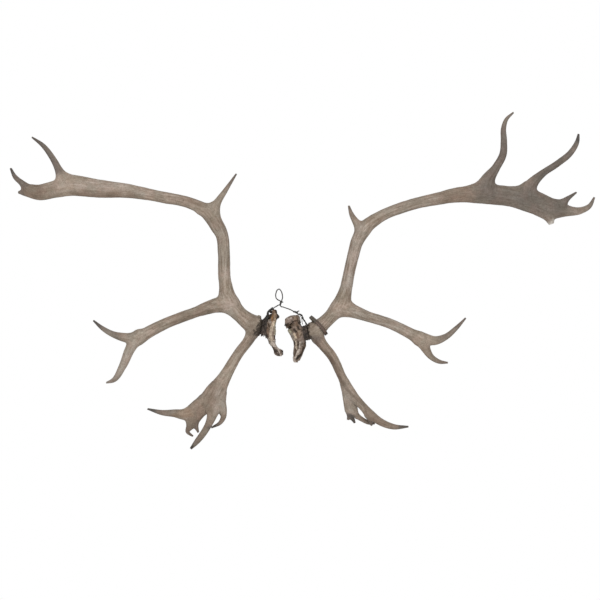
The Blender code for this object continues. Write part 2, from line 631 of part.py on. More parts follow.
def smooth_route(route, per_span):
    """Points of a smooth curve through a route of x, z, distance out and anything that follows."""
    along = np.linspace(0.0, len(route) - 1, (len(route) - 1) * per_span + 1)
    return smooth_rows(route, along)


def twist_strand(phase):
    """One strand of the twisted neck, from its top to its bottom."""
    top = place(*TWIST_TOP)
    bottom = place(*TWIST_BOTTOM)
    ahead = (bottom - top).normalized()
    side = ahead.cross(Vector((0.0, 1.0, 0.0))).normalized()
    front = side.cross(ahead)
    strand = []
    for step in range(TWIST_STEPS + 1):
        share = step / TWIST_STEPS
        turn = phase + math.tau * TWIST_TURNS * share
        arm = (side * math.cos(turn) + front * math.sin(turn)) * TWIST_RADIUS * MM
        strand.append(top.lerp(bottom, share) + arm)
    return strand


def hanging_wire(finish):
    """From the left knob, up the twisted neck, round the loop, down the neck and over to the tie."""
    left_strand = twist_strand(0.0)
    right_strand = twist_strand(math.pi)
    loop = [place(*row) for row in smooth_route(LOOP_ROUTE, 2)]
    left_span = [place(*row) for row in LEFT_SPAN]
    right_span = [place(*row) for row in smooth_route(RIGHT_SPAN, 2)]
    points = left_span[::-1] + left_strand[::-1] + loop + right_strand + right_span
    wire("hanging_wire", [(point, WIRE_RADIUS) for point in points], finish)


def leg(name, route, finish):
    wire(name, [(place(*row[:3]), row[3]) for row in smooth_route(route, 2)], finish)


def rod(bm, start, end, radius):
    """A straight round rod between two points in metres."""
    ahead = (end - start).normalized()
    side = ahead.cross(Vector((0.0, 1.0, 0.0))).normalized()
    front = side.cross(ahead)
    spot = Matrix([side, front, ahead]).transposed().to_4x4()
    size = Matrix.Diagonal((radius * MM, radius * MM, (end - start).length, 1.0))
    bmesh.ops.create_cone(bm, cap_ends=True, segments=STUB_SIDES, radius1=1.0, radius2=1.0, depth=1.0,
                          matrix=Matrix.Translation((start + end) / 2.0) @ spot @ size)


def wire_tie(finish):
    """The knot: a short coil with two cut ends that cross in front of it."""
    coil = wire("tie_coil", [(place(*row), STRAND_RADIUS) for row in smooth_route(TIE_ROUTE, 2)], finish)
    bpy.context.view_layer.update()
    mesh = bpy.data.meshes.new_from_object(coil.evaluated_get(bpy.context.evaluated_depsgraph_get()))
    bpy.data.objects.remove(coil, do_unlink=True)
    core = new_object("wire_tie", mesh)
    for number, (start, end) in enumerate(TIE_STUBS):
        bm = bmesh.new()
        rod(bm, place(*start), place(*end), WIRE_RADIUS)
        stub = cutter_object(f"tie_stub_{number}", bm)
        join = core.modifiers.new(stub.name, "BOOLEAN")
        join.operation = "UNION"
        join.object = stub
    finish_piece(core, finish)


def strap(finish):
    """A stiff band bent round the beam into a long loop with round ends."""
    run = Vector((STRAP_RUN[0], 0.0, STRAP_RUN[1])).normalized()
    out = Vector((0.0, -1.0, 0.0))
    across = run.cross(out)
    middle = place(*STRAP_MIDDLE)
    bm = bmesh.new()
    rings = []
    for inset in (0.0, STRAP_THICKNESS):
        half_length = STRAP_HALF_LENGTH - inset
        half_depth = STRAP_HALF_DEPTH - inset
        ring = []
        for step in range(STRAP_STEPS):
            turn = math.tau * step / STRAP_STEPS
            reach = math.copysign(abs(math.cos(turn)) ** STRAP_CORNER, math.cos(turn)) * half_length
            rise = math.copysign(abs(math.sin(turn)) ** STRAP_CORNER, math.sin(turn)) * half_depth
            spot = middle + (run * reach + out * rise - across * STRAP_WIDTH / 2.0) * MM
            ring.append(bm.verts.new(spot))
        rings.append([bm.edges.new((ring[step - 1], ring[step])) for step in range(STRAP_STEPS)])
    face = bmesh.ops.bridge_loops(bm, edges=rings[0] + rings[1])["faces"]
    grown = bmesh.ops.extrude_face_region(bm, geom=face)["geom"]
    moved = [item for item in grown if isinstance(item, bmesh.types.BMVert)]
    bmesh.ops.translate(bm, verts=moved, vec=across * STRAP_WIDTH * MM)
    finish_piece(object_from(bm, "strap"), finish)


def grown_side(side, antler_rows, skull_rows, faces, saws, pieces, ends, skull_spot, finishes):
    """One antler with its piece of skull, grown as one and then parted."""
    antler = {name: Branch(rows, BURR_EDGE if name == "burr" else None) for name, rows in antler_rows.items()}
    skull = [Branch(rows) for rows in skull_rows.values()]
    form = grown_form(side + "_form", list(antler.values()) + skull, faces)
    sawn(form, antler, saws, ends)
    named_pieces(form, antler, pieces, side + "_skull_piece", skull_spot, finishes)


def main():
    clear_scene()
    finishes = {
        "antler": material("antler", (0.30, 0.24, 0.19), 0.62),
        "bone": material("bone", (0.42, 0.33, 0.24), 0.7),
        "wire": material("wire", (0.07, 0.07, 0.065), 0.45, 0.8),
        "binding": material("binding", (0.045, 0.035, 0.03), 0.7),
        "leather": material("leather", (0.10, 0.065, 0.045), 0.6),
    }
    grown_side("left", LEFT_ANTLER, LEFT_SKULL, LEFT_FACES, LEFT_SAWS, LEFT_PIECES, LEFT_WRAP,
               place(*LEFT_SKULL_SPOT), finishes)
    grown_side("right", RIGHT_ANTLER, RIGHT_SKULL, RIGHT_FACES, RIGHT_SAWS, RIGHT_PIECES, RIGHT_WRAP,
               place(*RIGHT_SKULL_SPOT), finishes)
    wrap("left_pedicle_wrap", LEFT_WRAP, finishes["binding"])
    wrap("right_pedicle_wrap", RIGHT_WRAP, finishes["binding"])
    hanging_wire(finishes["wire"])
    wire_tie(finishes["wire"])
    leg("left_wire_leg", LEFT_LEG, finishes["wire"])
    leg("right_wire_leg_front", FRONT_LEG, finishes["wire"])
    leg("right_wire_leg_back", BACK_LEG, finishes["wire"])
    strap(finishes["leather"])


main()
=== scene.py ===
# %% [markdown]
# # A pair of caribou antlers, dressed over its solids
#
# The object is a pair of bull caribou antlers that still sit on two sawn pieces of skull. Wire is wound
# round the bone stalk under each antler, one thin wire joins the two sides, and its loop hangs on a nail.
# The part's solids give the true shape and size. This script lays finer surfaces over them: grown bone
# with its grooves and grain, wound wire, and a stiff old strap.
#
# The tables below are in millimetres from the nail: x to the right, z up, and out is the distance from
# the wall. Blender works in metres, and Y runs into the wall, so place() turns one into the other.

# %% Load the solids
import math

import bmesh
import bpy
import numpy as np
from mathutils import Matrix, Vector, noise


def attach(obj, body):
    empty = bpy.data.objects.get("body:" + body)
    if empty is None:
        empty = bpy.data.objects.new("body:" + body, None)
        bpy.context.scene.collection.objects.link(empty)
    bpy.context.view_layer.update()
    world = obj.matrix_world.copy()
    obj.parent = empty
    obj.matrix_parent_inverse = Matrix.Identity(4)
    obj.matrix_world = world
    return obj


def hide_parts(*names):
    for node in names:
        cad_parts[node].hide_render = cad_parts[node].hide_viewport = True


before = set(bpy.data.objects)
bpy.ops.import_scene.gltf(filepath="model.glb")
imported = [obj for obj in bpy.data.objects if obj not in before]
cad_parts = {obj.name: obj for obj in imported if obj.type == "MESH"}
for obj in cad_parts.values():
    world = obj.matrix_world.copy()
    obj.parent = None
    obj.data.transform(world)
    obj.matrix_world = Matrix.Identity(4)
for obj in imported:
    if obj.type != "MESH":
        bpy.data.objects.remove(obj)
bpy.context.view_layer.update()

MM = 0.001
WALL_BEHIND_NAIL = 6.0


def place(x, z, out):
    """A point given in millimetres from the nail, and out from the wall, in metres."""
    return Vector((x * MM, (WALL_BEHIND_NAIL - out) * MM, z * MM))


# %% [markdown]
# ## Camera
#
# A photographer stands well back from a thing this wide, so that its ends aren't stretched. The camera
# is six metres away, level with the middle of the pair and square to the wall. The lens follows from the
# width that the picture takes in at the wall, 1.74 m, by similar triangles with the 36 mm sensor.

# %% Set the camera
CAMERA_DISTANCE = 6.0
PICTURE_WIDTH = 1.74
PICTURE_MIDDLE_X = 0.0609
PICTURE_MIDDLE_Z = -0.0304
SENSOR_WIDTH = 36.0


def new_object(name, data):
    """An object with the given data, linked into the scene."""
    thing = bpy.data.objects.new(name, data)
    bpy.context.scene.collection.objects.link(thing)
    return thing


camera = new_object("camera", bpy.data.cameras.new("camera"))
camera.data.sensor_width = SENSOR_WIDTH
camera.data.lens = SENSOR_WIDTH * CAMERA_DISTANCE / PICTURE_WIDTH
camera.location = (PICTURE_MIDDLE_X, -CAMERA_DISTANCE, PICTURE_MIDDLE_Z)
camera.rotation_euler = (math.pi / 2, 0, 0)
bpy.context.scene.camera = camera
print("lens:", round(camera.data.lens, 1), "mm")

# %% [markdown]
# ## Light and floor
#
# The pair was shot against pure white, with wide soft lights in front and a little above, so its edges and
# undersides turn only slightly darker. A white world gives the background. Camera rays see it at full
# strength, while it lights the bone more weakly, and two large area lights in front do the rest. The floor
# is a plain pale disc far below, out of the picture: it shows only when the pair is seen from higher up.

# %% Light the scene
WORLD_SEEN = 1.0
WORLD_LIGHT = 0.6
LAMP_WARMTH = (1.0, 0.965, 0.93)
LAMP_SIZE = 1.8
FLOOR_HEIGHT = -1.6
FLOOR_RADIUS = 3.0
FLOOR_SIDES = 96
FLOOR_GREY = (0.86, 0.86, 0.85, 1)
FLOOR_ROUGHNESS = 0.9

world = bpy.data.worlds.new("studio")
world.use_nodes = True
bpy.context.scene.world = world
sky = world.node_tree.nodes["Background"]
sky.inputs["Color"].default_value = (1.0, 1.0, 1.0, 1.0)
ray = world.node_tree.nodes.new("ShaderNodeLightPath")
strength = world.node_tree.nodes.new("ShaderNodeMapRange")
strength.inputs["To Min"].default_value = WORLD_LIGHT
strength.inputs["To Max"].default_value = WORLD_SEEN
world.node_tree.links.new(ray.outputs["Is Camera Ray"], strength.inputs["Value"])
world.node_tree.links.new(strength.outputs["Result"], sky.inputs["Strength"])
bpy.context.scene.view_settings.view_transform = "Standard"


def soft_light(name, position, watts):
    """A large square light that faces the nail."""
    lamp = bpy.data.lights.new(name, "AREA")
    lamp.size = LAMP_SIZE
    lamp.energy = watts
    lamp.color = LAMP_WARMTH
    thing = new_object(name, lamp)
    thing.location = position
    thing.rotation_euler = (-Vector(position)).to_track_quat("-Z", "Y").to_euler()


soft_light("key_light", (-1.0, -5.2, 2.4), watts=116)
soft_light("fill_light", (1.8, -5.2, 0.6), watts=55)

bm = bmesh.new()
bmesh.ops.create_circle(bm, cap_ends=True, segments=FLOOR_SIDES, radius=FLOOR_RADIUS,
                        matrix=Matrix.Translation((0, 0, FLOOR_HEIGHT)))
floor_mesh = bpy.data.meshes.new("floor")
bm.to_mesh(floor_mesh)
bm.free()
floor = new_object("floor", floor_mesh)
floor_finish = bpy.data.materials.new("pale_floor")
floor_finish.use_nodes = True
floor_shader = floor_finish.node_tree.nodes["Principled BSDF"]
floor_shader.inputs["Base Color"].default_value = FLOOR_GREY
floor_shader.inputs["Roughness"].default_value = FLOOR_ROUGHNESS
floor_mesh.materials.append(floor_finish)
print("two soft lights, a white world and a pale floor")

# %% [markdown]
# ## How the antlers grow: stations
#
# An antler is a beam with tines that leave it one after another. It could be sculpted by hand, but then
# its measures couldn't be read or changed. Here each branch is a row of stations from its root to its tip:
# x, z, half width, distance out from the wall, and depth over width. A round tine has a depth of 1 times
# its width, and a flat palm less than half. Short extra rows called webs fill the corners of the forks.

# %% Stations of the left antler
LEFT_ANTLER = {
    "beam": [
        (-58, -104.5, 21, 31, 0.97), (-79, -97, 24.5, 34, 0.95), (-114, -70, 21.5, 42, 0.95),
        (-143, -26, 21.5, 56, 0.95), (-154.5, 25, 18, 70, 1.0), (-157, 105, 17.5, 96, 1.05),
        (-162.4, 156.8, 17.8, 109, 1.0), (-176.8, 184, 20.4, 117.5, 0.95), (-196.3, 213, 20.9, 124, 0.9),
        (-218, 230.6, 17, 129, 0.875), (-245, 242.5, 16.2, 134, 0.85), (-340, 263, 16.5, 144, 0.85),
        (-430, 279, 20, 142, 0.7), (-515, 286, 26, 132, 0.55), (-592, 294.5, 28.5, 118, 0.45),
        (-640, 285, 24.5, 104, 0.45), (-690, 278, 22, 86, 0.5), (-714, 284, 17.5, 74, 0.6),
        (-738, 305, 9, 56, 0.8), (-761, 325, 6.5, 40, 0.95), (-775, 350, 3, 28, 1.0)],
    "crown tine": [
        (-608, 296, 24, 112, 0.5), (-624, 334, 12.5, 106, 0.8), (-643.5, 370, 9, 90, 0.95),
        (-677, 413, 6.5, 64, 1.0), (-711, 438.5, 2.5, 46, 1.0)],
    "crown stub": [(-708, 283, 14, 78, 0.6), (-728, 278, 9, 68, 0.75), (-748, 279, 3.5, 60, 1.0)],
    "back tine": [
        (-186, 216, 18, 124, 0.9), (-175.5, 243.5, 11.5, 122, 0.95), (-152, 281.5, 7, 107, 1.0),
        (-121.5, 330.5, 2.5, 82, 1.0)],
    "bez tine": [
        (-137, -40, 22, 52, 0.95), (-180, -46, 20.5, 62, 0.9), (-245, -68, 15.5, 86, 0.95),
        (-302.5, -89, 15.7, 108, 0.95), (-370, -122, 17, 126, 0.85), (-400, -140, 17, 132, 0.7)],
    "bez upper point": [
        (-392, -138, 13, 131, 0.7), (-440, -136, 12.5, 132, 0.8), (-470, -128, 9, 125, 0.95),
        (-500, -112, 6.5, 115, 1.0), (-529, -89, 2.5, 100, 1.0)],
    "bez lower point": [
        (-394.5, -126.5, 14.6, 131, 0.7), (-423.5, -174, 14.2, 131, 0.8), (-444, -219, 11, 118, 0.95),
        (-473, -260, 6.5, 98, 1.0), (-493, -267, 2.5, 92, 1.0)],
    "brow tine": [
        (-68, -111, 22, 31, 0.95), (-85.5, -143, 15.8, 36, 0.95), (-117, -186, 15, 45, 0.95),
        (-146, -234, 17, 53, 0.8), (-166, -269, 22, 55, 0.65), (-185.5, -304, 30, 53, 0.42),
        (-203, -335, 29, 50, 0.36)],
    "brow front point": [
        (-212, -326, 21.5, 50, 0.4), (-240, -347, 20, 48, 0.45), (-275, -359.5, 15.5, 46, 0.65),
        (-300, -357, 11.5, 44, 0.8), (-335, -355.5, 8, 38, 0.95), (-380, -345, 2.5, 28, 1.0)],
    "brow web": [
        (-183, -276, 8.5, 54, 0.6), (-204, -300, 9.5, 52, 0.5), (-227, -323, 9.5, 50, 0.5),
        (-247, -341, 8.5, 48, 0.55)],
    "brow outer fork": [
        (-226, -342, 22, 48, 0.42), (-248, -369, 19, 46, 0.5), (-257, -395, 10.5, 44, 0.75),
        (-263, -410, 6, 40, 1.0), (-248, -424, 2.5, 32, 1.0)],
    "brow inner fork": [
        (-240, -367, 14, 46, 0.5), (-239.5, -388, 7.5, 46, 0.75), (-232, -412, 2.5, 50, 1.0)],
    "brow long point": [
        (-187, -330, 23, 52, 0.4), (-190.5, -357, 15.5, 58, 0.6), (-200, -384, 11, 64, 0.8),
        (-215, -411, 9.5, 66, 0.95), (-236, -438, 7.8, 65, 1.0), (-253, -457.5, 3.4, 62, 1.0)],
    "brow hook point": [
        (-167, -298, 14.5, 51, 0.5), (-169.5, -322, 16.5, 50, 0.45), (-162, -348, 12.5, 46, 0.65),
        (-160, -368, 8, 42, 0.85), (-168, -383, 6, 40, 1.0), (-195, -399, 2.5, 36, 1.0)],
    "crown tine web": [(-618, 322, 10, 108, 0.8), (-600, 316, 12, 111, 0.7), (-576, 305, 12, 115, 0.6)],
    "back tine web": [
        (-222, 225.5, 11.5, 130, 0.9), (-204, 228, 11.5, 128, 0.9), (-188, 235.5, 10, 125, 0.9)],
    "bez upper web": [
        (-157.5, -14, 12, 60, 0.9), (-163, -30.5, 11.5, 58, 0.9), (-174, -43, 10.5, 60, 0.9)],
    "bez lower web": [(-152, -52, 13, 56, 0.9), (-138, -58, 14.5, 52, 0.9), (-124, -68, 13, 48, 0.9)],
    "burr": [(-63, -103.5, 24.4, 32, 0.97), (-69, -101, 24.6, 33, 0.97)],
    "pedicle": [
        (-42, -109.5, 18, 27.5, 1.0), (-52, -107, 20.5, 30, 1.0), (-60, -104.5, 23, 31.5, 1.0),
        (-67, -102.5, 23, 32.5, 1.0)],
}
print("left antler:", len(LEFT_ANTLER), "branches")

# %% Stations of the right antler
RIGHT_ANTLER = {
    "beam": [
        (90, -124, 21.5, 31, 0.97), (106, -116, 24, 33, 0.95), (131, -96, 20.5, 39, 0.95),
        (155, -71, 20, 47, 0.95), (178, -40, 21.5, 57, 0.95), (191, -2, 18.5, 68, 1.0),
        (200, 42, 16.5, 86, 1.05), (212, 95, 17, 104, 1.05), (227.5, 145, 18.5, 120, 1.0),
        (252, 180.5, 19.5, 132, 0.9), (286, 204, 16.5, 140, 0.85), (380, 240, 16, 154, 0.85),
        (445, 255, 17.5, 157, 0.8), (520, 268, 22.5, 151, 0.6), (590, 269, 28, 143, 0.48),
        (660, 263, 29, 131, 0.42), (730, 247, 33, 116, 0.4), (775, 230, 29.5, 103, 0.42),
        (820, 225, 17, 88, 0.55), (865, 226, 10, 74, 0.8), (892, 239, 7, 62, 0.95),
        (908, 265, 2.8, 52, 1.0)],
    "crown first tine": [
        (588, 274, 27, 144, 0.5), (594, 309, 20, 141, 0.65), (616, 343, 12.5, 131, 0.85),
        (638, 382, 11, 119, 0.95), (642.5, 425, 9, 104, 1.0), (643, 460, 7.5, 90, 1.0),
        (651.5, 486, 5.5, 80, 1.0), (673.5, 508, 2.5, 70, 1.0)],
    "crown second tine": [
        (704, 261, 28, 122, 0.42), (720, 298, 17.5, 117, 0.65), (754, 331, 10.5, 105, 0.9),
        (799, 361, 9.5, 92, 1.0), (835.5, 391, 8.5, 81, 1.0), (856.5, 425, 6.2, 70, 1.0),
        (861, 446, 3, 64, 1.0)],
    "crown spur": [
        (782, 236, 20, 100, 0.45), (809, 246, 12.5, 94, 0.6), (827, 260, 7, 89, 0.9),
        (852.5, 278, 2.5, 82, 1.0)],
    "crown heel": [(757, 228, 19, 108, 0.42), (771, 206, 13.5, 104, 0.5), (778.5, 186.5, 7.8, 101, 0.7)],
    "back tine": [
        (238, 167, 17, 126, 0.9), (221, 190, 10.5, 123, 0.9), (207, 215, 6.5, 115, 1.0),
        (200, 238.5, 2.8, 106, 1.0)],
    "bez tine": [
        (171, -56, 22, 52, 0.95), (206, -61, 19.5, 60, 0.9), (255, -78, 15.5, 79, 0.9),
        (310, -95, 14.5, 101, 0.95), (374, -126, 16, 124, 0.85), (402, -142, 17, 132, 0.7)],
    "bez upper point": [
        (392, -139, 13, 130, 0.7), (420, -140.5, 13.5, 131, 0.75), (440, -145.5, 13, 132, 0.8),
        (475, -135, 9, 126, 0.95), (504, -112, 6.5, 114, 1.0), (534, -82, 2.5, 98, 1.0)],
    "bez lower point": [
        (398, -134.5, 12.5, 131, 0.65), (418, -169.5, 12.2, 131, 0.8), (434, -192, 8.5, 122, 0.95),
        (459, -206.5, 6, 109, 1.0), (483, -209.5, 2.5, 100, 1.0)],
    "brow tine": [
        (102, -120.5, 22, 32, 0.95), (120, -151, 16, 37, 0.95), (155, -195, 14, 47, 0.95),
        (180.5, -249, 12.3, 60, 0.9), (203.5, -298, 13.5, 66, 0.7)],
    "brow long tine": [
        (192, -277, 7.5, 66, 0.9), (209, -300, 12.5, 69, 0.9), (231.5, -325, 12, 71, 0.95),
        (264.5, -359, 12, 72, 0.95), (290, -379, 10.8, 70, 0.95), (330, -394.5, 8, 63, 1.0),
        (373, -395, 2.5, 52, 1.0)],
    "brow spur": [(255, -362, 7, 68, 0.9), (263, -379, 4, 60, 1.0), (267, -391, 2.5, 52, 1.0)],
    "brow palm": [
        (189, -266, 8, 62, 0.8), (195, -290, 13, 63, 0.6), (201.5, -317, 17, 59, 0.45),
        (206, -337, 16.5, 54, 0.42), (209.5, -349, 12.5, 50, 0.5)],
    "brow hook point": [
        (208, -339, 15, 52, 0.5), (222, -360, 8.2, 48, 0.75), (240, -374.5, 6.6, 44, 0.9),
        (258, -383.5, 5.8, 40, 1.0), (277, -387, 2.5, 36, 1.0)],
    "brow lower point": [(208, -351.5, 9, 50, 0.6), (210, -369, 4.5, 48, 0.9), (219, -385, 2.5, 46, 1.0)],
    "brow nib": [(205, -351, 7, 50, 0.6), (202, -366, 4, 52, 0.9), (198, -375, 2.5, 54, 1.0)],
    "first tine web": [
        (546, 280, 12.5, 145, 0.7), (567, 291.5, 12.5, 144, 0.6), (590, 309, 12, 142, 0.6)],
    "second tine web": [
        (668, 271, 15, 128, 0.5), (688, 278.5, 16.5, 124, 0.5), (706, 291.5, 13, 120, 0.55)],
    "bez web": [(192.5, -20, 11.5, 60, 0.9), (196.5, -36, 10.5, 58, 0.9), (206, -49, 9.5, 60, 0.9)],
    "burr": [(91, -124, 24.5, 31, 0.97), (95, -122.5, 25, 32, 0.97)],
    "pedicle": [(72, -127.5, 18, 26.5, 1.0), (94, -122, 19, 32, 1.0)],
}
print("right antler:", len(RIGHT_ANTLER), "branches")

# %% [markdown]
# ## A branch as a curve with a width
#
# Between two stations a real tine runs in one smooth line, so the rows are read from a smooth curve
# through them. Each branch can also say how far a point is from its skin, and which way is out. That is
# the tool that turns a rough skin into a smooth one further down.

# %% Read a branch from its stations
RIB_SPACING = 4.0
TINY = 1e-6
TINIER = 1e-9
BLUNT_ENDS = {"burr": 3.0, "beam": 4.0}


def smooth_rows(rows, along):
    """Rows read from a smooth curve through the given ones, at the given counts of stations."""
    rows = np.array(rows, dtype=float)
    last = len(rows) - 1
    lengths = np.linalg.norm(np.diff(rows[:, :2], axis=0), axis=1)
    slopes = np.diff(rows, axis=0) / lengths[:, None]
    ends = np.concatenate([[0.0], np.cumsum(lengths)])
    tangents = np.empty_like(rows)
    tangents[0] = slopes[0]
    tangents[-1] = slopes[-1]
    for middle in range(1, last):
        before = lengths[middle - 1]
        after = lengths[middle]
        tangents[middle] = (slopes[middle - 1] * after + slopes[middle] * before) / (before + after)
    along = np.clip(np.asarray(along, dtype=float), 0.0, last)
    cell = np.minimum(along.astype(int), last - 1)
    part = (along - cell)[:, None]
    step = (ends[cell + 1] - ends[cell])[:, None]
    square = part * part
    cube = square * part
    return ((2 * cube - 3 * square + 1) * rows[cell] + (cube - 2 * square + part) * step * tangents[cell]
            + (3 * square - 2 * cube) * rows[cell + 1] + (cube - square) * step * tangents[cell + 1])


class Branch:
    """A swept branch: its axis, its half width and half depth, and the directions of both."""

    def __init__(self, name, stations, cap=None):
        self.name = name
        last = len(stations) - 1
        chords = np.linalg.norm(np.diff(np.array(stations)[:, :2], axis=0), axis=1)
        along = [0.0]
        for cell, chord in enumerate(chords):
            steps = max(2, math.ceil(chord / RIB_SPACING))
            along += [cell + (step + 1) / steps for step in range(steps)]
        rows = smooth_rows(stations, np.minimum(along, last))
        self.centre = np.column_stack([rows[:, 0], WALL_BEHIND_NAIL - rows[:, 3], rows[:, 1]])
        self.width = rows[:, 2]
        self.depth = rows[:, 2] * rows[:, 4]
        steps = np.linalg.norm(np.diff(self.centre, axis=0), axis=1)
        self.run = np.concatenate([[0.0], np.cumsum(steps)])
        ahead = np.gradient(self.centre, axis=0)
        self.spacing = np.linalg.norm(ahead, axis=1)
        self.ahead = ahead / self.spacing[:, None]
        side = np.cross(self.ahead, (0.0, 1.0, 0.0))
        self.side = side / np.linalg.norm(side, axis=1)[:, None]
        self.front = np.cross(self.side, self.ahead)
        self.cap = cap

    def read(self, points):
        """Gap between points and the skin, the way out of it, and the place: across, outward, along."""
        apart = (np.sum(points ** 2, axis=1)[:, None] + np.sum(self.centre ** 2, axis=1)[None, :]
                 - 2.0 * points @ self.centre.T)
        row = np.argmin(apart, axis=1)
        last = len(self.centre) - 1
        lead = np.sum((points - self.centre[row]) * self.ahead[row], axis=1) / self.spacing[row]
        spot = np.clip(row + np.clip(lead, -1.0, 1.0), 0.0, last)
        cell = np.minimum(spot.astype(int), last - 1)
        part = (spot - cell)[:, None]

        def between(values):
            values = values if values.ndim > 1 else values[:, None]
            return values[cell] * (1.0 - part) + values[cell + 1] * part

        side, front, ahead = between(self.side), between(self.front), between(self.ahead)
        width, depth = between(self.width)[:, 0], between(self.depth)[:, 0]
        offset = points - between(self.centre)
        across = np.sum(offset * side, axis=1)
        outward = np.sum(offset * front, axis=1)
        beyond = np.sum(offset * ahead, axis=1)
        at_end = (spot <= 0.0) & (beyond < 0.0) | (spot >= last) & (beyond > 0.0)
        beyond = np.where(at_end, beyond, 0.0)
        cap = self.cap if self.cap else np.minimum(width, depth)
        ratio = np.sqrt((across / width) ** 2 + (outward / depth) ** 2 + (beyond / cap) ** 2) + TINY
        size = np.sqrt(across ** 2 + outward ** 2 + beyond ** 2) + TINY
        way = (side * (across / width ** 2)[:, None] + front * (outward / depth ** 2)[:, None]
               + ahead * (beyond / cap ** 2)[:, None])
        way /= np.linalg.norm(way, axis=1)[:, None] + TINIER
        place_on = np.column_stack([across, outward, between(self.run)[:, 0] + beyond])
        return size * (1.0 - 1.0 / ratio), way, place_on


left_branches = [Branch(name, rows, BLUNT_ENDS.get(name)) for name, rows in LEFT_ANTLER.items()]
right_branches = [Branch(name, rows, BLUNT_ENDS.get(name)) for name, rows in RIGHT_ANTLER.items()]
print("left beam:", round(left_branches[0].run[-1]), "mm along the curve, right beam:",
      round(right_branches[0].run[-1]), "mm")

# %% [markdown]
# ## One skin over many branches
#
# Tubes that only stand in each other leave a hard line at every fork, while bone grows over it in a soft
# web. So this is done in three steps. Each branch is swept as a closed tube, by pushing a ring of edges from
# station to station. A voxel remesh melts all the tubes into one rough skin. Then every point of the skin
# is moved onto a smooth union of the branches.

# %% Sweep a branch
SIDES = 14


def pushed(bm, ring):
    """A new ring, pushed out of the edges between the vertices of the last one."""
    edges = [bm.edges.get((ring[step - 1], ring[step])) for step in range(len(ring))]
    made = bmesh.ops.extrude_edge_only(bm, edges=edges)["geom"]
    fresh = {item for item in made if isinstance(item, bmesh.types.BMVert)}
    return [next(edge.other_vert(vert) for edge in vert.link_edges if edge.other_vert(vert) in fresh)
            for vert in ring]


def tube(bm, ring, rows):
    """A closed tube: a ring of joined vertices that is pushed from one row of spots to the next."""
    ends = [ring]
    for number, spots in enumerate(rows):
        if number:
            ring = pushed(bm, ring)
        for vert, spot in zip(ring, spots):
            vert.co = spot
    ends.append(ring)
    for end in ends:
        bmesh.ops.contextual_create(bm, geom=end)


def sweep(bm, branch):
    """A closed tube along the branch."""
    turns = [math.tau * step / SIDES for step in range(SIDES)]
    rows = [[Vector(centre + side * width * math.cos(turn) + front * depth * math.sin(turn)) * MM
             for turn in turns]
            for centre, side, front, width, depth
            in zip(branch.centre, branch.side, branch.front, branch.width, branch.depth)]
    ring = bmesh.ops.create_circle(bm, cap_ends=False, segments=SIDES, radius=1.0)["verts"]
    tube(bm, ring, rows)


def object_from(bm, name):
    """Turns the finished shape into an object, with its faces pointing outwards."""
    bmesh.ops.recalc_face_normals(bm, faces=bm.faces)
    mesh = bpy.data.meshes.new(name)
    bm.to_mesh(mesh)
    bm.free()
    return new_object(name, mesh)


def applied(thing):
    """The object's mesh with its modifiers applied, in place of the old one."""
    bpy.context.view_layer.update()
    mesh = bpy.data.meshes.new_from_object(thing.evaluated_get(bpy.context.evaluated_depsgraph_get()))
    thing.modifiers.clear()
    thing.data = mesh
    return mesh


# %% [markdown]
# ### Where the branches blend
#
# Each branch can say how far a point is from its skin. The least of these gaps would give a hard crease
# where two branches meet. A soft least, in which every branch counts by how near it is, gives a web of bone
# there, and one number sets how wide the web is.

# %% Measure the smooth union
REACH = 22.0
FAR = 1000.0
CHUNK = 20000


def union_field(points, branches, web):
    """Gap to the smooth union, the way out, how much one branch leads, and the place on that branch."""
    gaps = np.full((len(branches), len(points)), FAR)
    ways = np.zeros((len(branches), len(points), 3))
    places = np.zeros((len(branches), len(points), 3))
    for row, branch in enumerate(branches):
        margin = REACH + branch.width.max()
        low = branch.centre.min(axis=0) - margin
        high = branch.centre.max(axis=0) + margin
        near = np.all((points > low) & (points < high), axis=1)
        gaps[row, near], ways[row, near], places[row, near] = branch.read(points[near])
    least = gaps.min(axis=0)
    weight = np.exp(-(gaps - least) / web)
    total = weight.sum(axis=0)
    gap = least - web * np.log(total)
    way = (weight[:, :, None] * ways).sum(axis=0) / total[:, None]
    leader = gaps.argmin(axis=0)
    calm = 1.0 - np.sort(weight, axis=0)[-2]
    return gap, way, leader, calm, places[leader, np.arange(len(points))]


def in_chunks(points, branches, web):
    """The same for many points, in portions that fit the memory."""
    parts = [union_field(points[start:start + CHUNK], branches, web)
             for start in range(0, len(points), CHUNK)]
    return [np.concatenate(column) for column in zip(*parts)]


# %% [markdown]
# ### Melt and settle
#
# The voxel remesh gives small even faces everywhere, but its skin has steps. So each point is moved along
# the way out by the gap that is left, a few times over, until it rests on the smooth union.

# %% Grow a skin
LEAST_SLOPE = 0.3
LONGEST_STEP = 3.0
SETTLING_PASSES = 3


def points_of(mesh):
    """The mesh's points in millimetres."""
    points = np.empty(len(mesh.vertices) * 3)
    mesh.vertices.foreach_get("co", points)
    return points.reshape(-1, 3) / MM


def put_points(mesh, points):
    """Moves the mesh's points to places in millimetres."""
    mesh.vertices.foreach_set("co", (points * MM).ravel())
    mesh.update()


def normals_of(mesh):
    """The way out of the mesh at each of its points."""
    normals = np.empty(len(mesh.vertices) * 3)
    mesh.vertex_normals.foreach_get("vector", normals)
    return normals.reshape(-1, 3)


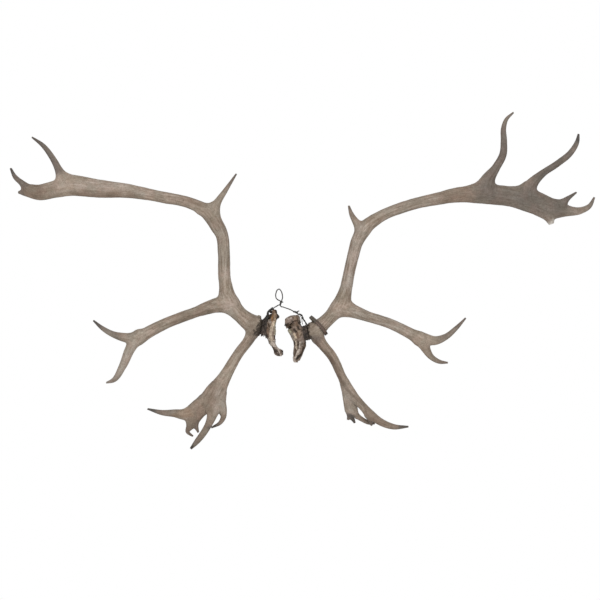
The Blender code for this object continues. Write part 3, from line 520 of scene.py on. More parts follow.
def grown_skin(name, branches, voxel, web, swell=0.0):
    """One fine skin over all the branches, settled on their smooth union."""
    bm = bmesh.new()
    for branch in branches:
        sweep(bm, branch)
    form = object_from(bm, name)
    melt = form.modifiers.new("melt", "REMESH")
    melt.mode = "VOXEL"
    melt.voxel_size = voxel * MM
    mesh = applied(form)
    points = points_of(mesh)
    for _ in range(SETTLING_PASSES):
        gap, way, *_ = in_chunks(points, branches, web)
        steep = np.maximum(np.sum(way ** 2, axis=1), LEAST_SLOPE)
        points = points - way * np.clip((gap - swell) / steep, -LONGEST_STEP, LONGEST_STEP)[:, None]
    put_points(mesh, points)
    return form


# %% [markdown]
# ## A waist for the wire
#
# The turns of wire lie in a waist of the bone stalk, between the antler and its piece of skull. The skin
# could be squeezed by hand, but a rule is surer: every point near the stalk's axis, from one end of the
# winding to the other, is drawn in to the stalk's radius, with a soft edge at both ends. The same function
# draws in the antlers here and the skull pieces further down.

# %% Draw in the stalks and grow the antlers
LEFT_WRAP = (place(-37, -109.5, 27), place(-53.5, -107, 30))
RIGHT_WRAP = (place(72.5, -127, 26), place(89, -123, 30))
STALK_RADIUS = 18.0
WAIST_EDGE = 3.0
WAIST_REACH = 42.0
ANTLER_VOXEL = 1.9
ANTLER_WEB = 5.0


def smooth_step(low, high, values):
    """A share that rises softly from 0 to 1 between two values."""
    share = np.clip((values - low) / (high - low), 0.0, 1.0)
    return share * share * (3.0 - 2.0 * share)


def draw_in(form, ends):
    """Makes a waist for the turns of wire between two points of the stalk's axis."""
    start, end = (np.array(point) / MM for point in ends)
    length = np.linalg.norm(end - start)
    ahead = (end - start) / length
    points = points_of(form.data)
    along = (points - start) @ ahead
    foot = start + along[:, None] * ahead
    arm = points - foot
    reach = np.linalg.norm(arm, axis=1) + TINY
    inside = smooth_step(-WAIST_EDGE, 0.0, along) * smooth_step(length + WAIST_EDGE, length, along)
    inside = np.where(reach < WAIST_REACH, inside, 0.0)
    drawn = reach + (np.minimum(reach, STALK_RADIUS) - reach) * inside
    put_points(form.data, foot + arm * (drawn / reach)[:, None])


left_antler = grown_skin("left_antler", left_branches, ANTLER_VOXEL, ANTLER_WEB)
right_antler = grown_skin("right_antler", right_branches, ANTLER_VOXEL, ANTLER_WEB)
draw_in(left_antler, LEFT_WRAP)
draw_in(right_antler, RIGHT_WRAP)
for antler in (left_antler, right_antler):
    print(antler.name, len(antler.data.polygons), "faces")

# %% [markdown]
# ## Values that are kept on the skins
#
# The relief and the colours come from the same few values: soft noise, the distance to a tip, the distance
# to the skull. Broad differences of colour are laid on like brush strokes. Each stroke runs from one point
# to another with a radius, a paint and a strength, and noise frays its edge. All of them are kept on the
# mesh as attributes, so that the materials can read them.

# %% Noise, attributes and strokes
ROUGH_OCTAVES = 4
ROUGH_FALL = 0.7
ROUGH_STEP = 2.1
STORED_KINDS = {1: ("FLOAT", "value"), 3: ("FLOAT_VECTOR", "vector"), 4: ("FLOAT_COLOR", "color")}


def noise_at(points, size, shift=0.0):
    """Soft noise from -1 to 1 at points in millimetres, with lumps of about the given size."""
    return np.array([noise.noise(Vector(row)) for row in points / size + shift])


def rough_at(points, size, shift=0.0):
    """The same with finer and finer noise added."""
    return np.array([noise.fractal(Vector(row), ROUGH_FALL, ROUGH_STEP, ROUGH_OCTAVES)
                     for row in points / size + shift])


def store(mesh, name, values):
    """Keeps a value, a vector or a colour for each point of the mesh."""
    kind, key = STORED_KINDS[1 if values.ndim == 1 else values.shape[1]]
    mesh.attributes.new(name, kind, "POINT").data.foreach_set(key, values.astype(np.float32).ravel())


def painted(points, strokes, fray, fray_size, soft, ground=None):
    """Colour and cover for each point, from strokes laid one over another, on a ground or on nothing."""
    ragged = points[:, [0, 2]] + fray * np.column_stack(
        [noise_at(points, fray_size, shift=5.0), noise_at(points, fray_size, shift=23.0)])
    colour = np.tile(np.array(ground if ground else (0.0, 0.0, 0.0)), (len(points), 1))
    cover = np.full(len(points), 1.0 if ground else 0.0)
    for from_x, from_z, to_x, to_z, radius, paint, strength in strokes:
        start = np.array([from_x, from_z], dtype=float)
        run = np.array([to_x, to_z]) - start
        share = np.clip((ragged - start) @ run / (run @ run), 0.0, 1.0)
        gap = np.linalg.norm(ragged - start - share[:, None] * run, axis=1)
        laid = strength * (1.0 - smooth_step(radius * (1.0 - soft), radius * (1.0 + soft), gap))
        cover = cover + laid * (1.0 - cover)
        colour += (np.array(paint) - colour) * (laid / np.maximum(cover, TINY))[:, None]
    return np.column_stack([colour, cover])


# %% [markdown]
# ### Broad tones
#
# An antler isn't one colour all over. Its crowns and points are greyer, the beams are paler where they were
# rubbed, and some forks are browner. Noise alone would put these anywhere, so each is a stroke that is laid
# along the branch that has it. Their edges are wide and soft, so that none of them shows as a band. A few
# strokes are painted shade and a painted highlight instead: darker undersides next to the skull and under the
# left upper beam, and on the right brow tine a darker left half and crease and a lighter right edge.

# %% Tones of the antlers
TONE_FRAY = 10.0
TONE_FRAY_SIZE = 30.0
TONE_SOFTNESS = 0.9

# Bark brown; one stroke below also uses it as painted shade along the underside of the left upper beam
BARK_AND_SHADE = (0.20, 0.155, 0.12)
UMBER = (0.10, 0.07, 0.045)
PEAT = (0.055, 0.036, 0.022)
TAN = (0.33, 0.255, 0.185)
# Horn grey; two strokes also use it as painted shade on the undersides of the brows next to the skull
HORN_GREY_AND_SHADE = (0.16, 0.14, 0.125)
# Fawn; one stroke also uses it as a painted highlight along the right edge of the right brow tine
FAWN_AND_HIGHLIGHT = (0.405, 0.355, 0.305)
SILVER = (0.43, 0.39, 0.355)
# Chalk, for pale sawn bone; one stroke also uses it as a painted highlight on the right skull piece's crest
CHALK_AND_HIGHLIGHT = (0.54, 0.49, 0.455)
TIP_GREY = (0.085, 0.082, 0.078)
# Painted shade on the right brow tine: its left half, away from the light, and the crease by its long tine
PAINTED_SHADE = (0.13, 0.095, 0.07)
SLATE = (0.085, 0.08, 0.072)
SOOT = (0.024, 0.02, 0.015)
RUSSET = (0.30, 0.205, 0.135)
FRESH_BREAK = (0.60, 0.60, 0.58)

# Broad differences of colour: from x, z to x, z, a radius, all in millimetres, then paint and strength
LEFT_TONES = [
    (-700, 290, -740, 305, 24, BARK_AND_SHADE, 0.8), (-735, 300, -775, 352, 16, HORN_GREY_AND_SHADE, 0.8),
    # First stroke on the next line: painted shade along the underside of the left upper beam
    (-575, 266, -410, 260, 15, BARK_AND_SHADE, 0.75), (-715, 275, -640, 272, 20, BARK_AND_SHADE, 0.4),
    (-565, 298, -430, 292, 11, SILVER, 0.55), (-400, 276, -290, 260, 14, SILVER, 0.35),
    (-634, 342, -692, 428, 11, SLATE, 0.8), (-625, 340, -711, 440, 18, HORN_GREY_AND_SHADE, 0.85),
    (-640, 300, -600, 300, 26, FAWN_AND_HIGHLIGHT, 0.4), (-156, 300, -120, 332, 14, HORN_GREY_AND_SHADE, 0.5),
    (-143, -20, -156, 60, 18, FAWN_AND_HIGHLIGHT, 0.8), (-156, 50, -160, 170, 20, SILVER, 0.3),
    (-80, -95, -130, -60, 20, FAWN_AND_HIGHLIGHT, 0.6), (-72, -88, -74, -124, 14, BARK_AND_SHADE, 0.6),
    # First stroke on the next line: painted shade on the underside of the left brow next to the skull
    (-62, -134, -80, -154, 8, HORN_GREY_AND_SHADE, 0.55), (-140, -45, -138, -60, 16, SILVER, 0.4),
    (-175, -300, -215, -340, 34, BARK_AND_SHADE, 0.55), (-170, -302, -168, -345, 16, SILVER, 0.6),
    (-160, -365, -195, -400, 12, BARK_AND_SHADE, 0.5), (-235, -365, -262, -410, 18, BARK_AND_SHADE, 0.75),
    (-300, -357, -380, -345, 14, HORN_GREY_AND_SHADE, 0.5), (-210, -400, -255, -460, 14, HORN_GREY_AND_SHADE, 0.35),
    (-460, -130, -530, -90, 14, HORN_GREY_AND_SHADE, 0.7), (-375, -122, -405, -145, 20, FAWN_AND_HIGHLIGHT, 0.6),
    (-410, -160, -470, -262, 16, SILVER, 0.5), (-200, -60, -300, -98, 8, BARK_AND_SHADE, 0.5),
    (-508, -104, -531, -86, 7, TIP_GREY, 0.7), (-362, -348, -382, -344, 7, TIP_GREY, 0.7),
    (-250, -453, -256, -460, 5, SOOT, 0.8), (-180, -396, -197, -400, 7, TIP_GREY, 0.7),
    (-768, 340, -777, 354, 8, TIP_GREY, 0.6), (-186, -252, -258, -332, 7, HORN_GREY_AND_SHADE, 0.6),
    (-212, -372, -240, -428, 10, BARK_AND_SHADE, 0.55), (-255, -352, -300, -362, 9, RUSSET, 0.45)]
RIGHT_TONES = [
    (196, 10, 213, 100, 18, SILVER, 0.9), (213, 100, 235, 165, 20, SILVER, 0.6),
    (310, 215, 450, 252, 22, SILVER, 0.35), (110, -112, 180, -40, 20, FAWN_AND_HIGHLIGHT, 0.6),
    (225, -68, 360, -118, 16, SILVER, 0.45), (190, -280, 200, -300, 14, SILVER, 0.4),
    (92, -130, 98, -142, 4, PEAT, 0.7), (96, -132, 100, -112, 11, BARK_AND_SHADE, 0.65),
    # Next line: painted shade under the right brow next to the skull, then on the brow tine's left half, away
    # from the light
    (100, -138, 112, -148, 9, HORN_GREY_AND_SHADE, 0.85), (108, -154, 148, -204, 9, PAINTED_SHADE, 0.6),
    # First stroke on the next line: more painted shade on the right brow tine's left half, away from the
    # light
    (146, -200, 184, -264, 7, PAINTED_SHADE, 0.6), (480, 262, 610, 275, 34, BARK_AND_SHADE, 0.7),
    (600, 268, 800, 232, 44, HORN_GREY_AND_SHADE, 0.85), (590, 285, 640, 395, 26, HORN_GREY_AND_SHADE, 0.9),
    (636, 380, 643, 450, 16, HORN_GREY_AND_SHADE, 0.9), (643, 450, 674, 508, 14, HORN_GREY_AND_SHADE, 0.3),
    (705, 265, 760, 335, 28, HORN_GREY_AND_SHADE, 0.9), (750, 330, 835, 392, 16, HORN_GREY_AND_SHADE, 0.9),
    (830, 388, 861, 446, 14, HORN_GREY_AND_SHADE, 0.85), (800, 240, 852, 278, 16, HORN_GREY_AND_SHADE, 0.8),
    (850, 224, 908, 266, 16, HORN_GREY_AND_SHADE, 0.25), (752, 330, 812, 368, 9, SLATE, 0.35),
    (768, 182, 780, 188, 7, FRESH_BREAK, 0.95), (202, -318, 206, -344, 15, SILVER, 0.5),
    # Second stroke on the next line, and the first on the line after: painted shade in the crease between the
    # palm and the long tine
    (225, -362, 280, -390, 8, BARK_AND_SHADE, 0.6), (176, -250, 216, -304, 4, PAINTED_SHADE, 0.6),
    (216, -304, 257, -358, 3, PAINTED_SHADE, 0.45), (262, -374, 335, -405, 6, BARK_AND_SHADE, 0.7),
    # First stroke on the next line: a painted highlight along the right brow tine's right edge, where the
    # light falls
    (163, -184, 208, -276, 5, FAWN_AND_HIGHLIGHT, 0.6), (272, -368, 373, -395, 13, BARK_AND_SHADE, 0.45),
    (470, -135, 534, -82, 14, HORN_GREY_AND_SHADE, 0.55), (425, -175, 483, -209, 14, BARK_AND_SHADE, 0.5),
    (857, 428, 862, 448, 8, TIP_GREY, 0.8), (199, -370, 203, -362, 5, TIP_GREY, 0.7),
    (210, -367, 219, -386, 6, TIP_GREY, 0.9), (354, -396, 374, -395, 8, TIP_GREY, 0.7)]
print("broad tones:", len(LEFT_TONES), "on the left,", len(RIGHT_TONES), "on the right")

# %% [markdown]
# ## Relief on the antler
#
# While an antler grows, blood vessels run along it under the velvet and leave shallow grooves. They are
# deep on the lower beam and fade out towards the polished tips. Around the burr, where the antler
# meets the skull, the surface breaks up into pearls. Noise that is stretched along each branch gives the
# grooves, and finer noise gives the pearls.

# %% Carve the antlers
GROOVE_WIDTH = 5.0
GROOVE_LENGTH = 75.0
GROOVE_DEPTH = 0.8
GROOVE_NARROWNESS = 3.2
GROOVE_POWER = 1.5
GROOVES_START = 20.0
GROOVES_FULL = 240.0
UPPER_BEAM_FROM = 350.0
UPPER_BEAM_TO = 800.0
UPPER_BEAM_LOSS = 0.7
SWELL_SIZE = 42.0
SWELL_DEPTH = 0.9
DENT_SIZE = 14.0
DENT_DEPTH = 0.35
PEARL_SIZE = 5.5
PEARL_DEPTH = 1.3
PEARL_REACH = 26.0
PEARL_GAIN = 1.6
PEARL_FLOOR = -0.4
BURR_KNOB_SIZE = 9.0
BURR_KNOB_DEPTH = 3.0
TIP_REACH = 70.0
TIP_WIDTH = 4.0
FAR_FROM_TIP = 280.0
BURR_CALM = 0.5
GRAIN_STRETCH = 0.12
GRAIN_SCALE = 10.0
GRAIN_SHIFT = 37.0
GROOVE_SHIFT = 11.0
GROOVE_SHARES = {
    "beam": 1.0, "bez tine": 0.8, "brow tine": 0.8, "brow palm": 0.7, "burr": 0.2, "pedicle": 0.2}
OTHER_GROOVE_SHARE = 0.5


def carve_antler(antler, branches, burr_place, tones, foot):
    """Pushes grooves, swells and pearls into the skin, and stores what the material needs."""
    mesh = antler.data
    points = points_of(mesh)
    _, _, leader, calm, spots = in_chunks(points, branches, ANTLER_WEB)
    lengths = np.array([branch.run[-1] for branch in branches])[leader]
    has_tip = np.array([branch.width[-1] < TIP_WIDTH for branch in branches])[leader]
    depth_share = np.array([GROOVE_SHARES.get(branch.name, OTHER_GROOVE_SHARE)
                            for branch in branches])[leader]
    to_tip = np.where(has_tip, np.maximum(lengths - spots[:, 2], 0.0), FAR_FROM_TIP)
    grain = np.column_stack([spots[:, 0], spots[:, 1], spots[:, 2] * GRAIN_STRETCH + leader * GRAIN_SHIFT])

    stretched = np.column_stack([spots[:, 0] / GROOVE_WIDTH, spots[:, 1] / GROOVE_WIDTH,
                                 spots[:, 2] / GROOVE_LENGTH + leader * GROOVE_SHIFT])
    lines = noise_at(stretched, 1.0)
    grooves = np.clip(1.0 - np.abs(lines) * GROOVE_NARROWNESS, 0.0, 1.0) ** GROOVE_POWER
    fade = smooth_step(GROOVES_START, GROOVES_FULL, to_tip)
    smoother = UPPER_BEAM_LOSS * smooth_step(UPPER_BEAM_FROM, UPPER_BEAM_TO, spots[:, 2])
    upper = np.where(leader == 0, 1.0 - smoother, 1.0)
    groove = grooves * calm * depth_share * fade * upper

    from_burr = np.linalg.norm(points - burr_place, axis=1)
    near_burr = np.exp(-(from_burr / PEARL_REACH) ** 2)
    pearls = np.clip(noise_at(points, PEARL_SIZE, shift=7.0) * PEARL_GAIN, PEARL_FLOOR, 1.0)
    on_burr = np.array([branch.name == "burr" for branch in branches])[leader]
    on_burr = on_burr * smooth_step(0.0, BURR_CALM, calm)
    knobs = noise_at(points, BURR_KNOB_SIZE, shift=3.0)
    swells = noise_at(points, SWELL_SIZE, shift=19.0)
    dents = noise_at(points, DENT_SIZE, shift=41.0)

    lift = (-groove * GROOVE_DEPTH + (swells * SWELL_DEPTH + dents * DENT_DEPTH) * fade
            + pearls * near_burr * PEARL_DEPTH + on_burr * knobs * BURR_KNOB_DEPTH)
    put_points(mesh, points + normals_of(mesh) * lift[:, None])
    store(mesh, "grain", grain / GRAIN_SCALE)
    store(mesh, "groove", groove)
    store(mesh, "tip", 1.0 - smooth_step(0.0, TIP_REACH, to_tip))
    store(mesh, "foot", foot(points))
    # The stroke paint holds the broad tones, among them painted shade and a painted highlight
    store(mesh, "stroke_paint", painted(points, tones, TONE_FRAY, TONE_FRAY_SIZE, TONE_SOFTNESS))
    print(antler.name, "groove depth up to", round(float((groove * GROOVE_DEPTH).max()), 2), "mm")


# %% [markdown]
# ### The dark foot
#
# Dried hide and dirt darken each foot from the stalk outwards, as far as an edge across the beam, and the
# edge leans along the underside. So the darkness is a share of each point's distance past that edge, and it
# fades again low down. The two sides differ in how far they reach and how steeply the edge leans.

# %% Darken the feet and carve both sides
LEFT_BURR = np.array([-58.0, WALL_BEHIND_NAIL - 31.0, -106.0])
RIGHT_BURR = np.array([92.0, WALL_BEHIND_NAIL - 31.0, -124.0])
LEFT_FOOT_EDGE = -76.0
LEFT_FOOT_LEAN = 0.4
LEFT_FOOT_LEANS_FROM = -105.0
LEFT_FOOT_FADE = 24.0
LEFT_FOOT_BOTTOM = (-142.0, -128.0)
RIGHT_FOOT_EDGE = 94.0
RIGHT_FOOT_LEAN = 0.7
RIGHT_FOOT_LEANS_FROM = -130.0
RIGHT_FOOT_FADE = 10.0
RIGHT_FOOT_BOTTOM = (-148.0, -138.0)


def left_foot(points):
    """How dark the left foot is, from 0 to 1."""
    height = points[:, 2]
    spread = points[:, 0] - LEFT_FOOT_EDGE + LEFT_FOOT_LEAN * (LEFT_FOOT_LEANS_FROM - height)
    return np.clip(spread / LEFT_FOOT_FADE, 0.0, 1.0) * smooth_step(*LEFT_FOOT_BOTTOM, height)


def right_foot(points):
    """The same for the right foot, whose edge leans only below the stalk."""
    height = points[:, 2]
    below = np.maximum(RIGHT_FOOT_LEANS_FROM - height, 0.0)
    spread = RIGHT_FOOT_EDGE - points[:, 0] + RIGHT_FOOT_LEAN * below
    return np.clip(spread / RIGHT_FOOT_FADE, 0.0, 1.0) * smooth_step(*RIGHT_FOOT_BOTTOM, height)


carve_antler(left_antler, left_branches, LEFT_BURR, LEFT_TONES, left_foot)
carve_antler(right_antler, right_branches, RIGHT_BURR, RIGHT_TONES, right_foot)

# %% [markdown]
# ## Helpers for materials
#
# A material is a small network of nodes: textures make numbers, the numbers mix colours, and the result
# goes into one shader. These helpers add a node, fill its sockets and hand back what it gives, so that
# each finish below reads like a recipe.

# %% Node helpers
class Finish:
    """A material in the making."""

    def __init__(self, name, roughness, metallic=0.0, specular=0.4):
        self.material = bpy.data.materials.new(name)
        self.material.use_nodes = True
        self.tree = self.material.node_tree
        self.shader = self.tree.nodes["Principled BSDF"]
        self.shader.inputs["Metallic"].default_value = metallic
        self.shader.inputs["Roughness"].default_value = roughness
        self.shader.inputs["Specular IOR Level"].default_value = specular

    def fill(self, socket, value):
        """Links a socket to what another node gives, or sets it to a value."""
        if isinstance(value, bpy.types.NodeSocket):
            self.tree.links.new(value, socket)
        else:
            socket.default_value = value

    def filled(self, node, sockets):
        """The node, with its sockets filled."""
        for socket, value in sockets.items():
            self.fill(node.inputs[socket], value)
        return node

    def place(self):
        """Where a point is on the object, in metres."""
        return self.tree.nodes.new("ShaderNodeTexCoord").outputs["Object"]

    def stored(self, name, kind="Fac"):
        """A value that was kept on the mesh."""
        node = self.tree.nodes.new("ShaderNodeAttribute")
        node.attribute_name = name
        return node.outputs[kind]

    def noise(self, vector, scale, detail, roughness):
        """Soft noise from about 0 to 1: a larger scale makes smaller lumps."""
        node = self.tree.nodes.new("ShaderNodeTexNoise")
        self.filled(node, {"Vector": vector, "Scale": scale, "Detail": detail, "Roughness": roughness})
        return node.outputs["Fac"]

    def ranged(self, value, low, high, to_low=0.0, to_high=1.0):
        """The value, stretched from one range to another and kept inside it."""
        node = self.tree.nodes.new("ShaderNodeMapRange")
        self.filled(node, {"Value": value, "From Min": low, "From Max": high,
                           "To Min": to_low, "To Max": to_high})
        return node.outputs["Result"]

    def worked_out(self, operation, first, second):
        """One sum or product of two values."""
        node = self.tree.nodes.new("ShaderNodeMath")
        node.operation = operation
        return self.filled(node, {0: first, 1: second}).outputs["Value"]

    def times(self, first, second):
        return self.worked_out("MULTIPLY", first, second)

    def plus(self, first, second):
        return self.worked_out("ADD", first, second)

    def mixed(self, share, first, second, blend="MIX"):
        """Two colours mixed by a share from 0 to 1. Sockets 6 and 7 and output 2 are the node's colours."""
        node = self.tree.nodes.new("ShaderNodeMix")
        node.data_type = "RGBA"
        node.blend_type = blend
        return self.filled(node, {0: share, 6: first, 7: second}).outputs[2]

    def tinted(self, colour, share, low, high):
        """The colour, multiplied by one tint where the share is 0 and by another where it is 1."""
        tint = self.mixed(share, rgb(*low), rgb(*high))
        return self.mixed(1.0, colour, tint, "MULTIPLY")

    def done(self, colour, height, depth, roughness=None):
        """Puts the colour and the bump into the shader, and gives the material."""
        self.fill(self.shader.inputs["Base Color"], colour)
        bump = self.filled(self.tree.nodes.new("ShaderNodeBump"), {"Distance": depth, "Height": height})
        self.fill(self.shader.inputs["Normal"], bump.outputs["Normal"])
        if roughness is not None:
            self.fill(self.shader.inputs["Roughness"], roughness)
        print(self.material.name, "finish:", len(self.tree.nodes), "nodes")
        return self.material


def rgb(red, green, blue):
    """A colour in the form that a socket takes."""
    return (red, green, blue, 1.0)


# %% [markdown]
# ## Weathered antler
#
# Old antler is bone, dry and matt. Its colour runs from grey-tan on the beams to brown where blood and bark
# once rubbed in, with dark stained grooves, grey polished tips and a brown foot. Up close it is full of fine
# lengthwise fibres and pores. An image could be painted for all this, but noise needs no picture and stays
# sharp up close, so the recipe lays noise of several sizes over each other, from large to small.

# %% Antler finish
PALE_ANTLER = (0.362, 0.312, 0.262)
DEEP_ANTLER = (0.276, 0.234, 0.194)
FOOT_CRUST = (0.042, 0.030, 0.020)
PLAIN = (1.0, 1.0, 1.0)
ANTLER_BUMP = 0.0007


def antler_finish():
    look = Finish("weathered_antler", 0.6, specular=0.45)
    spot = look.place()
    grain = look.stored("grain", "Vector")
    patches = look.ranged(look.noise(spot, 9.0, 3.0, 0.6), 0.35, 0.65)
    colour = look.mixed(patches, rgb(*PALE_ANTLER), rgb(*DEEP_ANTLER))
    # The stroke paint gives the broad tones, and in a few places painted shade and a painted highlight
    colour = look.mixed(look.stored("stroke_paint", "Alpha"), colour, look.stored("stroke_paint", "Color"))
    rosy = look.ranged(look.noise(spot, 34.0, 3.0, 0.6), 0.38, 0.64)
    colour = look.tinted(colour, rosy, (0.95, 0.97, 0.96), (1.09, 1.03, 1.03))
    clouds = look.ranged(look.noise(spot, 95.0, 4.0, 0.65), 0.34, 0.66)
    colour = look.tinted(colour, clouds, (0.86, 0.84, 0.82), (1.10, 1.10, 1.09))
    bands = look.ranged(look.noise(grain, 1.6, 3.0, 0.6), 0.36, 0.64)
    colour = look.tinted(colour, bands, (0.86, 0.82, 0.78), (1.09, 1.10, 1.12))
    fibres = look.noise(grain, 5.5, 4.0, 0.7)
    colour = look.tinted(colour, look.ranged(fibres, 0.34, 0.66), (0.87, 0.85, 0.83), (1.08, 1.08, 1.07))
    speckle = look.noise(spot, 330.0, 2.0, 0.7)
    colour = look.tinted(colour, look.ranged(speckle, 0.34, 0.64), (0.80, 0.78, 0.76), (1.09, 1.09, 1.09))
    colour = look.tinted(colour, look.stored("groove"), PLAIN, (0.60, 0.54, 0.48))
    colour = look.tinted(colour, look.ranged(look.stored("tip"), 0.1, 1.0), PLAIN, (0.66, 0.66, 0.68))
    specks = look.times(look.noise(spot, 150.0, 3.0, 0.65), 2.2)
    crust = look.ranged(look.plus(look.stored("foot"), specks), 1.40, 1.90)
    colour = look.mixed(crust, colour, rgb(*FOOT_CRUST))
    pores = look.noise(spot, 700.0, 2.0, 0.7)
    height = look.plus(look.times(fibres, 0.6), look.times(pores, 0.5))
    roughness = look.ranged(look.stored("tip"), 0.0, 1.0, 0.66, 0.45)
    return look.done(colour, height, ANTLER_BUMP, roughness)


antler_material = antler_finish()

# %% [markdown]
# ## Fix a piece to its body and its solids
#
# The whole pair is one rigid body, so every piece rides on the root. Each piece also hides the solids that
# it stands for. An antler stands for all the grown nodes of its side, which are those whose names speak of no
# skull, wrap or wire.

# %% Dress the antlers
NOT_ANTLER = ("skull", "wrap", "wire")


def dress(piece, material, slot, *nodes):
    """Gives a piece its finish, fixes it to the body and lets it stand for its solids."""
    piece.data.materials.clear()
    piece.data.materials.append(material)
    piece.data.shade_smooth()
    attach(piece, "root")
    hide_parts(*nodes)
    print(piece.name, "stands for", len(nodes), "solids")


for antler, side in ((left_antler, "left_"), (right_antler, "right_")):
    grown = [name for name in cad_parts
             if name.startswith(side) and not any(word in name for word in NOT_ANTLER)]
    dress(antler, antler_material, "antler", *grown)

# %% [markdown]
# ## The sawn pieces of skull
#
# When antlers are kept as a pair, the saw goes through the skull around the stalks. What is left here is one
# long splinter on each side, thick at the top, with cream-coloured sawn faces, torn edges and dark dried
# skin. They are grown from branches like the antlers, but on a finer skin and with less webbing, so that
# their ridges stay sharp. Their backs are sawn flat where they lie against the wall.

# %% Stations of the skull pieces
LEFT_SKULL = {
    "strip": [
        (-13, -65, 5, 24, 1.2), (-17, -82, 7, 26, 1.2), (-24, -105, 6, 30, 1.2), (-24, -130, 6, 32, 1.2),
        (-20, -150, 5.5, 28, 1.2), (-12, -170, 5.2, 22, 1.1), (-3, -183, 5.5, 16, 1.1)],
    "outer edge": [
        (-27, -92, 7, 20, 1.5), (-28, -112, 7, 22, 1.5), (-28, -135, 5.5, 20, 1.5),
        (-22, -155, 5, 16, 1.5)],
    "torn edge": [
        (-13, -63, 4, 24, 1.2), (-9, -73, 4, 28, 1.2), (-4.2, -79.5, 4.4, 28, 1.1),
        (-10, -86, 2, 27, 1.2), (-15, -94, 2.5, 26, 1.2)],
    "hide knot": [(-20, -62, 4, 17, 1.0), (-27, -63, 2.6, 18, 1.0)],
    "shoulder": [
        (-20, -78, 4.5, 14, 0.9), (-28.5, -80.5, 6.5, 15, 0.9), (-38, -90, 8.5, 16, 0.9),
        (-33, -112, 8, 12, 0.9)],
    "inner edge": [
        (-16.5, -98, 2.5, 32, 1.3), (-17, -114, 3.4, 36, 1.3), (-15.5, -130, 3.8, 38, 1.3),
        (-14.5, -146, 3.5, 34, 1.3)],
    "web": [
        (-16, -77, 6, 7, 1.4), (-24, -100, 6.5, 7, 1.2), (-24, -130, 6.5, 6.5, 1.2),
        (-18, -158, 5, 5, 1.3), (-3, -182, 5, 5, 1.2)],
    "toe": [
        (-6, -182, 5.5, 14, 1.0), (1, -183.5, 7.2, 13.5, 1.0), (7, -183, 7.2, 12.5, 1.0),
        (12, -183, 5.2, 12, 1.0)],
    "stalk": [(-22, -113, 15, 22, 1.1), (-40, -110, 18, 27, 1.0), (-46, -108.5, 18, 28.5, 1.0)],
}
RIGHT_SKULL = {
    "crest": [(21, -93, 7.5, 18, 1.3), (39, -88.5, 12, 22, 1.2), (50, -87.5, 8.5, 22, 1.2)],
    "crest corner": [(46, -83, 5, 20, 1.2), (52.5, -80.5, 3.2, 20, 1.2), (53, -92, 3, 22, 1.2)],
    "lobe": [(23, -98, 6.8, 18, 1.4), (30.5, -109, 6.5, 18, 1.4)],
    "left ridge": [
        (34, -114, 7, 20, 1.4), (43, -134, 6.5, 22, 1.4), (50, -156, 6, 20, 1.4),
        (49, -182, 5.5, 14, 1.4), (48, -209, 4, 8, 1.4)],
    "middle ridge": [
        (46, -100, 11, 28, 1.1), (55, -126, 10, 34, 1.0), (61, -150, 7.5, 32, 1.0),
        (59, -174, 5.5, 22, 1.0), (53, -196, 5, 12, 1.0)],
    "right ridge": [
        (49, -97, 8.5, 24, 1.1), (60, -116, 10.5, 26, 1.1), (70, -143, 9, 24, 1.2),
        (70, -160, 7, 20, 1.2), (62, -182, 6.5, 14, 1.3), (54, -202, 4.5, 8, 1.4)],
    "web": [
        (41, -96, 15, 8, 0.6), (47, -115, 15, 8, 0.6), (57, -140, 14, 8, 0.6), (60, -162, 10, 8, 0.8),
        (54, -187, 9, 6, 0.9)],
    "stalk": [(54, -130, 15, 22, 1.1), (75, -127, 18, 27, 1.0), (79, -126, 18, 27.5, 1.0)],
}

SKULL_VOXEL = 1.0
SKULL_WEB = 3.0
SKULL_SWELL = 1.4


def skull_skin(name, stations):
    """One skin over the branches of a skull piece."""
    branches = [Branch(branch, rows) for branch, rows in stations.items()]
    skin = grown_skin(name, branches, SKULL_VOXEL, SKULL_WEB, SKULL_SWELL)
    print(name, len(skin.data.polygons), "faces")
    return skin


left_skull = skull_skin("left_skull_bone", LEFT_SKULL)
right_skull = skull_skin("right_skull_bone", RIGHT_SKULL)

# %% [markdown]
# ### Torn bone and its stains
#
# Broken skull bone is spongy inside, so its surface is pitted, and its colours change within a few
# millimetres: cream where the saw cut it, rust and umber where skin dried on, nearly black in the hollows.
# They are painted on with the same strokes as the antlers, only finer. Pale bone stands a little proud and
# dark bone lies deeper, so the same paint also carves it.
# Two strokes are painted light: a highlight on the right piece's crest, and lighter paint on the left piece's
# downward-facing edge.

# %% Strokes of the skull pieces
CREAM = (0.70, 0.60, 0.48)
IVORY = (0.50, 0.435, 0.36)
ASH = (0.31, 0.28, 0.255)
LICHEN = (0.40, 0.385, 0.305)
AMBER = (0.25, 0.145, 0.068)
OCHRE = (0.25, 0.14, 0.06)
BROWN = (0.20, 0.135, 0.095)
PLUM = (0.285, 0.232, 0.21)
MOSS = (0.15, 0.138, 0.095)
# Painted light: lifts the left piece's outer edge, which faces down, out of its shade
PAINTED_LIGHT = (0.42, 0.38, 0.34)
PITCH = (0.06, 0.047, 0.042)
CINDER = (0.10, 0.085, 0.078)
GROUND = (0.24, 0.19, 0.16)

